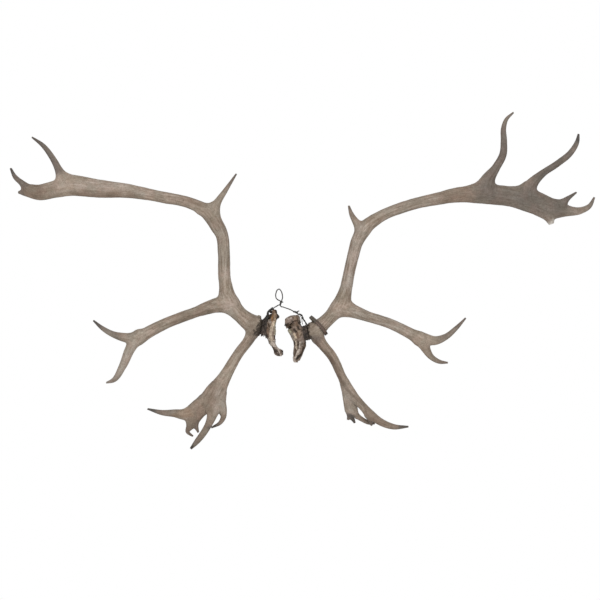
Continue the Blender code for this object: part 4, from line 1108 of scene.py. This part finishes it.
# Each stroke: from x, z to x, z, its radius, its paint and its strength
LEFT_STROKES = [
    (-38, -86, -26, -80, 4.0, PEAT, 0.85), (-36, -98, -35, -106, 2.6, ASH, 0.8),
    (-34, -110, -30, -134, 3.6, BROWN, 0.7), (-30, -98, -29, -112, 2.8, UMBER, 0.6),
    (-29, -102, -27, -107, 2.0, PEAT, 0.9), (-27, -116, -27, -122, 1.7, PEAT, 0.8),
    (-28, -76, -40, -92, 6.0, PEAT, 0.85), (-30, -89, -26, -94, 3.0, ASH, 0.95),
    (-20, -55, -12, -59, 6.5, SOOT, 0.95), (-28, -63, -22, -64, 4.0, SOOT, 0.9),
    (-23, -64, -22, -78, 3.4, PEAT, 0.9), (-14, -65, -11, -76, 3.4, BROWN, 0.9),
    (-11, -61, -4, -69, 3.2, PEAT, 0.95), (-4, -69, 1, -80, 3.4, PEAT, 0.95),
    (-8, -74, -6, -79, 1.6, BROWN, 0.7), (-1, -77, -3, -86, 4.8, SOOT, 0.95),
    (-16, -62, -14, -74, 4.2, BROWN, 0.9), (-17.5, -74, -18, -86, 2.9, AMBER, 0.85),
    (-20, -82, -19, -91, 2.6, OCHRE, 0.7), (-12, -68, -11, -92, 2.4, TAN, 0.9),
    (-15, -95, -20, -108, 4.0, CREAM, 0.95), (-20, -108, -24, -126, 4.0, IVORY, 0.95),
    (-24, -126, -24, -140, 4.2, IVORY, 0.95), (-23, -140, -15, -158, 4.4, IVORY, 0.95),
    (-19, -152, -13, -164, 3.4, CHALK_AND_HIGHLIGHT, 0.9), (-13, -160, -3, -172, 4.0, CHALK_AND_HIGHLIGHT, 0.95),
    (-12, -97, -12, -131, 2.4, LICHEN, 0.75), (-9.5, -102, -9.5, -112, 1.2, MOSS, 0.7),
    (-11, -134, -10, -145, 2.4, PEAT, 0.95), (-12, -148, -8, -163, 3.4, CHALK_AND_HIGHLIGHT, 0.9),
    # First stroke on the next line: painted light on the outer edge, which faces down and would fall into
    # shade
    (-29, -141, -22, -159, 3.0, PAINTED_LIGHT, 0.85), (-20.5, -166, -12, -177, 3.2, PEAT, 0.95),
    (-10, -177, 0, -187, 5.8, PITCH, 0.95), (-5, -182, -3, -185, 1.6, PLUM, 0.7),
    (-4, -168, 1, -174, 2.2, CHALK_AND_HIGHLIGHT, 0.95), (-1, -176, 6, -192, 1.6, CHALK_AND_HIGHLIGHT, 0.9),
    (3, -173, 10, -177, 1.6, ASH, 0.8), (9, -178, 13, -187, 3.6, CINDER, 0.95)]
RIGHT_STROKES = [
    # Second stroke on the next line: a painted highlight on the top left edge of the crest
    (24, -88, 50, -91, 10.0, PLUM, 0.8), (22, -87, 34, -82, 3.4, CHALK_AND_HIGHLIGHT, 0.6),
    (17, -86, 20, -92, 2.8, BROWN, 0.7), (27, -82, 35, -79, 1.3, UMBER, 0.7),
    (46, -80, 49, -86, 3.2, TAN, 0.75), (41, -80, 42, -83, 1.8, UMBER, 0.8),
    (37, -91, 40, -93, 2.3, SOOT, 0.75), (44, -87, 45, -91, 2.0, BROWN, 0.7),
    (52, -78, 54, -84, 3.2, BROWN, 0.7), (58, -76, 59, -88, 2.6, ASH, 0.8),
    (55, -88, 52, -96, 2.8, UMBER, 0.75), (19, -104, 25, -103, 4.2, SOOT, 0.95),
    (27, -104, 38, -102, 3.2, UMBER, 0.85), (26, -109, 36, -109, 2.6, PEAT, 0.7),
    (30, -96, 44, -100, 2.0, UMBER, 0.5), (48, -95, 56, -105, 4.2, BROWN, 0.7),
    (44, -101, 56, -106, 5.0, UMBER, 0.45), (55, -108, 58, -114, 3.0, SOOT, 0.8),
    (44, -116, 48, -121, 3.3, SOOT, 0.8), (50, -121, 52, -124, 2.6, PEAT, 0.85),
    (58, -96, 70, -104, 3.0, SOOT, 0.85), (60, -103, 64, -109, 2.4, PLUM, 0.8),
    (29, -117, 37, -130, 4.0, LICHEN, 0.95), (37, -128, 42, -144, 3.6, ASH, 0.9),
    (34, -115, 36, -120, 2.0, MOSS, 0.9), (44, -128, 50, -139, 2.9, CREAM, 0.95),
    (46, -140, 47, -148, 3.0, IVORY, 0.8), (54, -127, 56, -138, 3.2, BROWN, 0.85),
    (58, -118, 60, -128, 3.0, TAN, 0.6), (65, -129, 62, -138, 2.2, UMBER, 0.85),
    (66, -139, 71, -150, 5.0, PLUM, 0.75), (45, -149, 45, -159, 1.7, SOOT, 0.9),
    (49, -151, 51, -173, 2.4, IVORY, 0.95), (56, -152, 55, -171, 2.2, PEAT, 0.95),
    (61, -153, 58, -177, 2.7, CHALK_AND_HIGHLIGHT, 0.95), (55, -179, 56, -187, 3.2, CHALK_AND_HIGHLIGHT, 0.95),
    (66, -151, 66, -161, 3.0, ASH, 0.85), (68, -164, 70, -176, 1.5, UMBER, 0.6),
    (77, -150, 73, -168, 2.7, UMBER, 0.9), (73, -168, 64, -190, 2.9, PEAT, 0.9),
    (62, -190, 52, -200, 3.8, SOOT, 0.95), (48, -173, 46, -192, 2.7, PEAT, 0.8),
    (53, -183, 48, -197, 2.0, CHALK_AND_HIGHLIGHT, 0.95), (43, -197, 46, -209, 2.6, CHALK_AND_HIGHLIGHT, 0.85)]

# %% Carve and paint the skull pieces
PIT_SIZE = 7.0
PIT_DEPTH = 0.9
PIT_GAIN = 1.4
CRUMB_SIZE = 2.4
CRUMB_DEPTH = 0.5
CRUMB_STRETCH = np.array([1.0, 1.0, 0.35])
PROUD_DEPTH = 2.2
FULLY_PALE = 0.4
STROKE_FRAY = 1.3
STROKE_FRAY_SIZE = 5.0
STROKE_SOFTNESS = 0.35


def weather_skull(skull, strokes):
    """Paints the bone, carves it by its paint and its pores, and saws it flat at the wall."""
    mesh = skull.data
    points = points_of(mesh)
    colour = painted(points, strokes, STROKE_FRAY, STROKE_FRAY_SIZE, STROKE_SOFTNESS, GROUND)
    pits = rough_at(points, PIT_SIZE, shift=31.0)
    crumbs = noise_at(points * CRUMB_STRETCH, CRUMB_SIZE, shift=3.0)
    proud = smooth_step(0.0, FULLY_PALE, colour[:, :3].mean(axis=1)) - 0.5
    lift = pits * PIT_DEPTH + crumbs * CRUMB_DEPTH + proud * PROUD_DEPTH
    points = points + normals_of(mesh) * lift[:, None]
    points[:, 1] = np.minimum(points[:, 1], WALL_BEHIND_NAIL)
    put_points(mesh, points)
    # The stroke paint is the stains, with a painted highlight and some painted light among them
    store(mesh, "stroke_paint", colour)
    store(mesh, "pit", np.clip(-pits * PIT_GAIN, 0.0, 1.0))
    print(skull.name, "painted with", len(strokes), "strokes")


draw_in(left_skull, LEFT_WRAP)
draw_in(right_skull, RIGHT_WRAP)
weather_skull(left_skull, LEFT_STROKES)
weather_skull(right_skull, RIGHT_STROKES)

# %% [markdown]
# ### Old skull bone
#
# The strokes already give the bone its stains, with a painted highlight and some painted light among them, so
# the material only has to break them up. The carved pores are darkened by their own depth, so that colour and
# shape agree. Noise of two sizes mottles the rest, and the finer one makes bumps as well.

# %% Skull finish
SKULL_BUMP = 0.0009


def skull_finish():
    look = Finish("old_skull_bone", 0.72, specular=0.25)
    spot = look.place()
    stroke_paint = look.stored("stroke_paint", "Color")
    colour = look.tinted(stroke_paint, look.stored("pit"), (1.05, 1.05, 1.05), (0.55, 0.5, 0.45))
    blotch = look.ranged(look.noise(spot, 170.0, 4.0, 0.65), 0.34, 0.66)
    colour = look.tinted(colour, blotch, (0.72, 0.68, 0.64), (1.2, 1.2, 1.18))
    crumbs = look.noise(spot, 620.0, 3.0, 0.7)
    colour = look.tinted(colour, look.ranged(crumbs, 0.34, 0.64), (0.74, 0.7, 0.66), (1.12, 1.12, 1.12))
    height = look.plus(crumbs, look.times(look.noise(spot, 260.0, 4.0, 0.7), 0.9))
    return look.done(colour, height, SKULL_BUMP)


skull_material = skull_finish()
dress(left_skull, skull_material, "bone", "left_skull_piece")
dress(right_skull, skull_material, "bone", "right_skull_piece")

# %% [markdown]
# ## Wires
#
# Soft black iron wire, bent by hand. It is drawn a little thicker than the solids have it, which is how it
# reads from the front. A curve with a round bevel is the quickest way to a wire: its points are the route,
# and each has its own radius. All the wires of one piece are splines of one curve, which is then turned
# into a mesh.

# %% Wire helpers
WIRE_RADIUS = 1.6
WIRE_BEVEL = 3
BEND_PACE = 1.7
BEND_DRIFT = 0.8


def smooth_route(route, per_span=4):
    """Points of a smooth curve through a route of x, z and distance out, with the wire's radius."""
    along = np.linspace(0.0, len(route) - 1, (len(route) - 1) * per_span + 1)
    return [(place(*row), WIRE_RADIUS) for row in smooth_rows(route, along)]


def wires(name, paths):
    """Round wires through paths of points in metres, each with its radius in millimetres, as one mesh."""
    curve = bpy.data.curves.new(name, "CURVE")
    curve.dimensions = "3D"
    curve.bevel_depth = MM
    curve.bevel_resolution = WIRE_BEVEL
    curve.use_fill_caps = True
    for path in paths:
        spline = curve.splines.new("POLY")
        spline.points.add(len(path) - 1)
        for spot, (point, radius) in zip(spline.points, path):
            spot.co = (*point, 1.0)
            spot.radius = radius
    drawn = new_object(name + "_line", curve)
    bpy.context.view_layer.update()
    mesh = bpy.data.meshes.new_from_object(drawn.evaluated_get(bpy.context.evaluated_depsgraph_get()))
    bpy.data.objects.remove(drawn, do_unlink=True)
    mesh.materials.clear()
    return new_object(name, mesh)


def axis_frame(start, end):
    """Directions across, in front of and along the line between two points."""
    ahead = (end - start).normalized()
    side = ahead.cross(Vector((0.0, 1.0, 0.0))).normalized()
    return side, side.cross(ahead), ahead


def coil(start, end, radius, turns, thickness, phase=0.0, wobble=0.0, seed=0.0, per_turn=20):
    """A wire wound round the line between two points, a little uneven."""
    side, front, ahead = axis_frame(start, end)
    steps = max(2, round(turns * per_turn))
    path = []
    for step in range(steps + 1):
        share = step / steps
        turn = phase + math.tau * turns * share
        uneven = wobble * noise.noise(Vector((share * turns * BEND_PACE, seed, 0.5)))
        arm = (side * math.cos(turn) + front * math.sin(turn)) * (radius + uneven) * MM
        drift = ahead * uneven * BEND_DRIFT * MM
        path.append((start.lerp(end, share) + arm + drift, thickness))
    return path


# %% [markdown]
# ### Black iron
#
# Soft iron wire has a thin black scale on it, dull rather than shiny, and rust where the scale has gone. A
# plain dark metal would look like new wire, so noise picks out patches of rust, and these are rougher than
# the scale round them.

# %% Wire finish
IRON = (0.075, 0.075, 0.072)
RUST = (0.055, 0.036, 0.024)
WIRE_BUMP = 0.0002


def wire_finish():
    look = Finish("black_iron_wire", 0.45, metallic=0.75, specular=0.5)
    spot = look.place()
    rust = look.ranged(look.noise(spot, 210.0, 4.0, 0.65), 0.5, 0.75, 0.0, 0.7)
    colour = look.mixed(rust, rgb(*IRON), rgb(*RUST))
    scale = look.noise(spot, 1400.0, 3.0, 0.7)
    return look.done(colour, scale, WIRE_BUMP, look.ranged(rust, 0.0, 0.7, 0.42, 0.75))


wire_material = wire_finish()

# %% [markdown]
# ### The hanging loop
#
# One wire makes it all: it rises from the left side, twists with itself at the neck, runs round the loop
# that the nail goes through, comes back down the twist and crosses to the right side. A cut end is wound
# once round the neck and sticks out.

# %% Bend the hanging wire
LOOP_ROUTE = [
    (8.2, -31, 6), (10.2, -24, 6), (9.6, -15, 6), (6.3, -5, 6), (0.3, 1.2, 6), (-5, -1.5, 6),
    (-8.4, -9, 6), (-9.6, -18, 6), (-7.5, -26, 6.5), (-2, -30.5, 8), (4.5, -33.5, 9)]
TWIST_TOP = place(6.6, -35.0, 7.5)
TWIST_BOTTOM = place(3.2, -44.5, 9.0)
TWIST_TURNS = 1.0
TWIST_RADIUS = 1.4
LEFT_SPAN = [(-1.5, -45, 11), (-7.3, -48.7, 13.5), (-14.5, -52.4, 16)]
RIGHT_SPAN = [
    (4.6, -47.8, 10), (6.7, -49.8, 11), (11.6, -50.7, 12), (17.4, -52.7, 13), (26, -55.6, 15),
    (33.4, -58.5, 17), (40.6, -62.3, 20), (45, -64, 23)]
NECK_TOP = place(6.8, -33.8, 7.2)
NECK_BOTTOM = place(6.0, -37, 7.8)
NECK_END = [(4.5, -34, 10), (8, -35.5, 10.5), (12, -37, 9.5)]

left_strand, right_strand = (coil(TWIST_TOP, TWIST_BOTTOM, TWIST_RADIUS, TWIST_TURNS, WIRE_RADIUS, phase)
                             for phase in (0.0, math.pi))
whole = (smooth_route(LEFT_SPAN)[::-1] + left_strand[::-1] + smooth_route(LOOP_ROUTE) + right_strand
         + smooth_route(RIGHT_SPAN))
neck_turn = coil(NECK_TOP, NECK_BOTTOM, radius=2.9, turns=1.1, thickness=WIRE_RADIUS, phase=2.0)
hanging = wires("hanging_loop_wire", [whole, neck_turn, smooth_route(NECK_END)])
dress(hanging, wire_material, "wire", "hanging_wire")

# %% [markdown]
# ### The knot on the right
#
# The crossing wire meets the wires of the right side in a short knot. It is a few tight turns round the
# core, with two cut ends that cross in front of it.

# %% Tie the knot
KNOT_CORE = [(44, -63.5, 24), (48, -65, 24.5), (52, -66, 26), (55, -71.5, 28)]
KNOT_STUBS = [
    [(50, -66, 29), (46, -65.5, 30), (41, -64.5, 30)],
    [(50, -66, 29), (54, -63.5, 30.5), (58.5, -61.8, 30)]]

knot_turns = coil(place(45.5, -64, 24.5), place(53.8, -68.5, 27.2),
                  radius=2.0, turns=4.2, thickness=1.1, wobble=0.3)
knot = wires("wire_knot", [smooth_route(KNOT_CORE), knot_turns] + [smooth_route(stub) for stub in KNOT_STUBS])
dress(knot, wire_material, "wire", "wire_tie")

# %% [markdown]
# ### The legs
#
# From the knot, and from the top of the left skull piece, doubled and twisted wires run down to the
# bound stalks. One thick rod would look like a stick there, so each leg is two or three strands that turn
# round each other along its line. A few turns of thin wire and a strip of dried hide go with them.

# %% Twist the legs
LEFT_LEG = [
    (-18.5, -54, 18), (-22.5, -57.5, 19), (-28.5, -62, 20), (-32, -67, 22), (-32.5, -73, 24),
    (-36.5, -79.5, 26), (-41.5, -86, 28)]
HIDE_STRIP = [(-31.5, -79, 20), (-35, -84, 23), (-38, -90, 26)]
FRONT_LEG = [
    (55, -72, 29), (58, -71.5, 31), (61.5, -72, 33), (65.2, -74, 36), (68, -79, 38), (69.8, -85, 38),
    (73.5, -90, 38), (77, -95.5, 37), (80, -102, 35), (81.5, -107, 34)]
BACK_LEG = [(60, -73, 26), (63.5, -78, 22), (66, -84, 20), (66.8, -92, 20), (68, -101, 22)]


def twisted(route, turns, apart, thickness, strands=2):
    """Strands that turn round each other along a route."""
    line = [point for point, _ in smooth_route(route, per_span=8)]
    paths = []
    for strand in range(strands):
        path = []
        for row, point in enumerate(line):
            before = line[max(row - 1, 0)]
            after = line[min(row + 1, len(line) - 1)]
            side, front, _ = axis_frame(before, after)
            turn = math.tau * (strand / strands + turns * row / (len(line) - 1))
            path.append((point + (side * math.cos(turn) + front * math.sin(turn)) * apart * MM, thickness))
        paths.append(path)
    return paths


left_twist = twisted(LEFT_LEG, turns=3.2, apart=2.1, thickness=1.45, strands=3)
left_twist += twisted(HIDE_STRIP, turns=1.5, apart=2.0, thickness=3.0)
left_tie = coil(place(-16, -54, 18), place(-21.5, -57, 18), radius=3.0, turns=2.6, thickness=1.35, wobble=0.7)
left_leg = wires("left_wires", left_twist + [left_tie])
front_twist = twisted(FRONT_LEG, turns=3.0, apart=1.1, thickness=1.4)
front_tie = coil(place(67, -81, 37), place(69.5, -86, 38), radius=2.2, turns=2.2, thickness=1.0, wobble=0.3)
front_leg = wires("right_front_wires", front_twist + [front_tie])
back_leg = wires("right_back_wires", twisted(BACK_LEG, turns=2.0, apart=0.5, thickness=0.6))
dress(left_leg, wire_material, "wire", "left_wire_leg")
dress(front_leg, wire_material, "wire", "right_wire_leg_front")
dress(back_leg, wire_material, "wire", "right_wire_leg_back")

# %% [markdown]
# ## The bound stalks
#
# Round each stalk the wire goes many times, over dried hide that has turned nearly black. The turns are
# uneven and cross each other, and short ends stick out. A ring with carved grooves would be lighter, but its
# outline would stay smooth. So one coil lies tightly on the stalk, a few slanted turns go over it, and
# frayed ends stand out at the edge. On the left, scraps of hide hang below as well.

# %% Wind the stalks
FRAY_STEPS = 3
FRAY_TAPER = 0.75
SCRAP_TAPER = 0.7
SCRAP_THICKNESS = 3.4
FACING_WALL = 0.4
RIM_ABOVE = 8.0
WINDING_STEPS = 32
END_THICKNESS = 1.9
RIM_THICKNESS = 2.2
END_RADIUS = 19.5
END_SCATTER_ROUND = 0.5
END_SCATTER_ALONG = 0.45
END_LEAN = 0.9
END_REACH = 0.6
END_REACH_CHANGE = 0.5

# Each layer of wire: from and to as shares of the stalk, then radius, turns, thickness, phase, wobble, seed
WINDINGS = [
    (0.04, 0.96, 19.3, 4.6, 2.1, 0.0, 1.5, 0), (0.96, 0.04, 20.6, 2.3, 1.45, 1.1, 2.2, 3),
    (0.15, 0.96, 21.0, 1.7, 1.2, 2.9, 2.4, 7)]


def uneven(number, seed, row):
    """A number from -1 to 1 that is always the same for one end."""
    return noise.noise(Vector((number, seed, row)))


def frayed_ends(start, end, radius, count, length, thickness, seed):
    """Short tapered ends that stand out round a wound stalk, except where the wall is close."""
    side, front, ahead = axis_frame(start, end)
    ends = []
    for number in range(count):
        turn = math.tau * (number + END_SCATTER_ROUND * uneven(number, seed, 0)) / count
        share = 0.5 + END_SCATTER_ALONG * uneven(number * 3.1, seed, 9)
        out = side * math.cos(turn) + front * math.sin(turn)
        if out.y > FACING_WALL:
            continue
        lean = ahead * uneven(number * 1.7, seed, 4) * END_LEAN
        reach = length * (END_REACH + END_REACH_CHANGE * uneven(number * 2.3, seed, 2))
        foot = start.lerp(end, share) + out * radius * MM
        path = []
        for step in range(FRAY_STEPS + 1):
            grown = step / FRAY_STEPS
            spot = foot + (out + lean * grown) * reach * grown * MM
            path.append((spot, thickness * (1.0 - FRAY_TAPER * grown)))
        ends.append(path)
    return ends


def scrap_along(route):
    """A scrap of dried hide that hangs along a short route and ends in a point."""
    line = smooth_route(route)
    return [(point, SCRAP_THICKNESS * (1.0 - SCRAP_TAPER * row / (len(line) - 1)))
            for row, (point, _) in enumerate(line)]


def bound_stalk(name, ends, seed, frayed, fray_length, rim=(), scraps=()):
    """Layers of wire on a stalk, its frayed ends, and hide round a rim and along scraps."""
    start, end = ends
    paths = [coil(start.lerp(end, low), start.lerp(end, high), radius, turns, thickness, phase, wobble,
                  seed + shift, WINDING_STEPS)
             for low, high, radius, turns, thickness, phase, wobble, shift in WINDINGS]
    paths += frayed_ends(start, end, END_RADIUS, frayed, fray_length, END_THICKNESS, seed)
    for ring_start, ring_end, radius in rim:
        hide = frayed_ends(ring_start, ring_end, radius, frayed, fray_length, RIM_THICKNESS, seed + radius)
        paths += [scrap for scrap in hide if scrap[0][0].z < ring_start.z + RIM_ABOVE * MM]
    paths += [scrap_along(route) for route in scraps]
    return wires(name, paths)


# %% [markdown]
# ### Wire and hide under dust
#
# After many years the wound wire and the dried hide have nearly the same colour: almost black, with brown
# patches and a little pale dust. A second material for the hide would add nothing that the eye can find, so
# one finish serves both.

# %% Binding finish
BINDING_DARK = (0.028, 0.023, 0.0195)
BINDING_BROWN = (0.082, 0.061, 0.05)
BINDING_DUST = (0.16, 0.127, 0.108)
BINDING_BUMP = 0.0006


def binding_finish():
    look = Finish("bound_wire_and_hide", 0.7, specular=0.35)
    spot = look.place()
    brown = look.ranged(look.noise(spot, 95.0, 3.0, 0.6), 0.42, 0.62)
    colour = look.mixed(brown, rgb(*BINDING_DARK), rgb(*BINDING_BROWN))
    dust = look.ranged(look.noise(spot, 150.0, 3.0, 0.65), 0.52, 0.64, 0.0, 0.7)
    colour = look.mixed(dust, colour, rgb(*BINDING_DUST))
    return look.done(colour, look.noise(spot, 900.0, 4.0, 0.7), BINDING_BUMP)


# %% Bind both sides
LEFT_HIDE = [
    (place(-52, -107, 30), place(-60, -105, 31.5), 21.5),
    (place(-60, -106, 31), place(-69, -103, 33), 24.0)]
LEFT_SCRAPS = [
    [(-40, -122, 40), (-38.5, -132, 38), (-37, -141, 35)],
    [(-45, -124, 42), (-43, -131, 41), (-43.5, -136, 39)],
    [(-49, -125, 40), (-50, -131, 38), (-48.5, -134, 36)],
    [(-36, -128, 30), (-35, -135, 28), (-34, -142, 25)],
    [(-56, -126, 40), (-57, -131, 38), (-58.5, -134, 35)]]

binding_material = binding_finish()
left_binding = bound_stalk("left_pedicle_binding", LEFT_WRAP, seed=1.3, frayed=34, fray_length=12.0,
                           rim=LEFT_HIDE, scraps=LEFT_SCRAPS)
right_binding = bound_stalk("right_pedicle_binding", RIGHT_WRAP, seed=8.7, frayed=14, fray_length=7.0)
dress(left_binding, binding_material, "binding", "left_pedicle_wrap")
dress(right_binding, binding_material, "binding", "right_pedicle_wrap")

# %% [markdown]
# ## The strap
#
# A stiff strip of old leather goes twice round the foot of the right beam and stands off it at both sides,
# and its end shows at the upper left. A curve with a round bevel would turn it into a wire. So its section,
# a flat rectangle, is pushed along a rounded box that closes in slightly from one turn to the next, and its
# edges are bevelled at the end.

# %% Bend the strap
STRAP_MIDDLE = place(114.5, -104, 35)
STRAP_RUN = Vector((44, 0, -49)).normalized()
STRAP_OUT = Vector((0, -1, 0))
STRAP_ACROSS = STRAP_RUN.cross(STRAP_OUT)
STRAP_HALF_LENGTH = 34.0
STRAP_HALF_DEPTH = 30.0
STRAP_CORNER = 0.62
STRAP_THICKNESS = 2.4
STRAP_WIDTH = 4.8
STRAP_STEPS = 56
STRAP_BOW = 3.6
STRAP_FLUTTER = 0.5
STRAP_FLUTTER_PACE = 1.3
STRAP_CORNERS = [(1, 1), (-1, 1), (-1, -1), (1, -1)]
STRAP_FOLD = Vector((13, 22, 11)) * MM
STRAP_FOLD_MIDDLE = place(95.5, -84.0, 50)
STRAP_EDGE = 0.5
STRAP_EDGE_ANGLE = 40

# The two turns: shift across the strap, how much it closes in, its start in half turns, its share of a turn
STRAP_TURNS = [(-2.3, 0.6, 0.98, 1.04), (2.4, 0.9, 1.06, 1.0)]


def strap_row(offset, grow, turn, share):
    """The four corners of the strap's section at one angle of its way round."""
    swell = grow * share
    reach = math.copysign(abs(math.cos(turn)) ** STRAP_CORNER, math.cos(turn))
    rise = math.copysign(abs(math.sin(turn)) ** STRAP_CORNER, math.sin(turn))
    flutter = STRAP_FLUTTER * noise.noise(Vector((turn * STRAP_FLUTTER_PACE, offset, 3)))
    shift = offset + flutter - STRAP_BOW * (1.0 - reach * reach)
    centre = (STRAP_MIDDLE + (STRAP_RUN * reach * (STRAP_HALF_LENGTH + swell)
                              + STRAP_OUT * rise * (STRAP_HALF_DEPTH + swell) + STRAP_ACROSS * shift) * MM)
    outward = (STRAP_RUN * reach + STRAP_OUT * rise).normalized()
    return [centre + (outward * STRAP_THICKNESS * tall + STRAP_ACROSS * STRAP_WIDTH * wide) * 0.5 * MM
            for tall, wide in STRAP_CORNERS]


def strap_turn(bm, offset, grow, phase, sweep_share):
    """One turn of the strap: a rectangle pushed along a rounded box."""
    shares = [step / STRAP_STEPS for step in range(STRAP_STEPS + 1)]
    rows = [strap_row(offset, grow, phase + math.tau * sweep_share * share, share) for share in shares]
    ring = [bm.verts.new(spot) for spot in rows[0]]
    for corner in range(len(ring)):
        bm.edges.new((ring[corner - 1], ring[corner]))
    tube(bm, ring, rows)


# %% [markdown]
# ### Old leather
#
# Leather that has dried out is brown where it was rubbed and dark where grease has soaked in, and it cracks
# into fine creases. The worn places are strokes again, because they follow how the strap lies. The creases
# are noise, which darkens the colour and is the bump as well.

# %% Leather finish
LEATHER_DARK = (0.055, 0.040, 0.033)
LEATHER_BROWN = (0.105, 0.076, 0.062)
LEATHER_CREASE = (0.03, 0.02, 0.015)
GREASE = (0.078, 0.068, 0.052)
SCUFF = (0.19, 0.125, 0.095)
LEATHER_BUMP = 0.0006
LEATHER_FRAY = 1.0
LEATHER_FRAY_SIZE = 6.0
LEATHER_SOFTNESS = 0.5

STRAP_STROKES = [
    (86, -76, 98, -87, 9, GREASE, 0.9), (133, -124, 140, -132, 5, PEAT, 0.8),
    (108, -94, 133, -122, 1.9, SCUFF, 0.75), (101, -82, 141, -122, 1.6, PEAT, 0.6),
    (98, -95, 130, -132, 1.6, PEAT, 0.5)]


def leather_finish():
    look = Finish("old_leather", 0.58, specular=0.4)
    spot = look.place()
    worn = look.ranged(look.noise(spot, 70.0, 4.0, 0.6), 0.4, 0.7)
    colour = look.mixed(worn, rgb(*LEATHER_DARK), rgb(*LEATHER_BROWN))
    colour = look.mixed(look.stored("stroke_paint", "Alpha"), colour, look.stored("stroke_paint", "Color"))
    creases = look.noise(spot, 330.0, 4.0, 0.7)
    colour = look.mixed(look.ranged(creases, 0.3, 0.55, 0.5, 0.0), colour, rgb(*LEATHER_CREASE))
    return look.done(colour, creases, LEATHER_BUMP)


# %% Put the strap on
bm = bmesh.new()
fold = bmesh.ops.create_cube(bm, size=1.0)["verts"]
bmesh.ops.scale(bm, vec=STRAP_FOLD, verts=fold)
turned = Matrix((STRAP_RUN, -STRAP_OUT, STRAP_ACROSS)).transposed()
bmesh.ops.rotate(bm, matrix=turned, verts=fold)
bmesh.ops.translate(bm, vec=STRAP_FOLD_MIDDLE, verts=fold)
for offset, grow, half_turns, sweep_share in STRAP_TURNS:
    strap_turn(bm, offset, grow, math.pi * half_turns, sweep_share)
strap = object_from(bm, "leather_strap")
edge = strap.modifiers.new("edge", "BEVEL")
edge.width = STRAP_EDGE * MM
edge.segments = 2
edge.limit_method = "ANGLE"
edge.angle_limit = math.radians(STRAP_EDGE_ANGLE)
mesh = applied(strap)
worn = painted(points_of(mesh), STRAP_STROKES, LEATHER_FRAY, LEATHER_FRAY_SIZE, LEATHER_SOFTNESS)
store(mesh, "stroke_paint", worn)
dress(strap, leather_finish(), "leather", "strap")
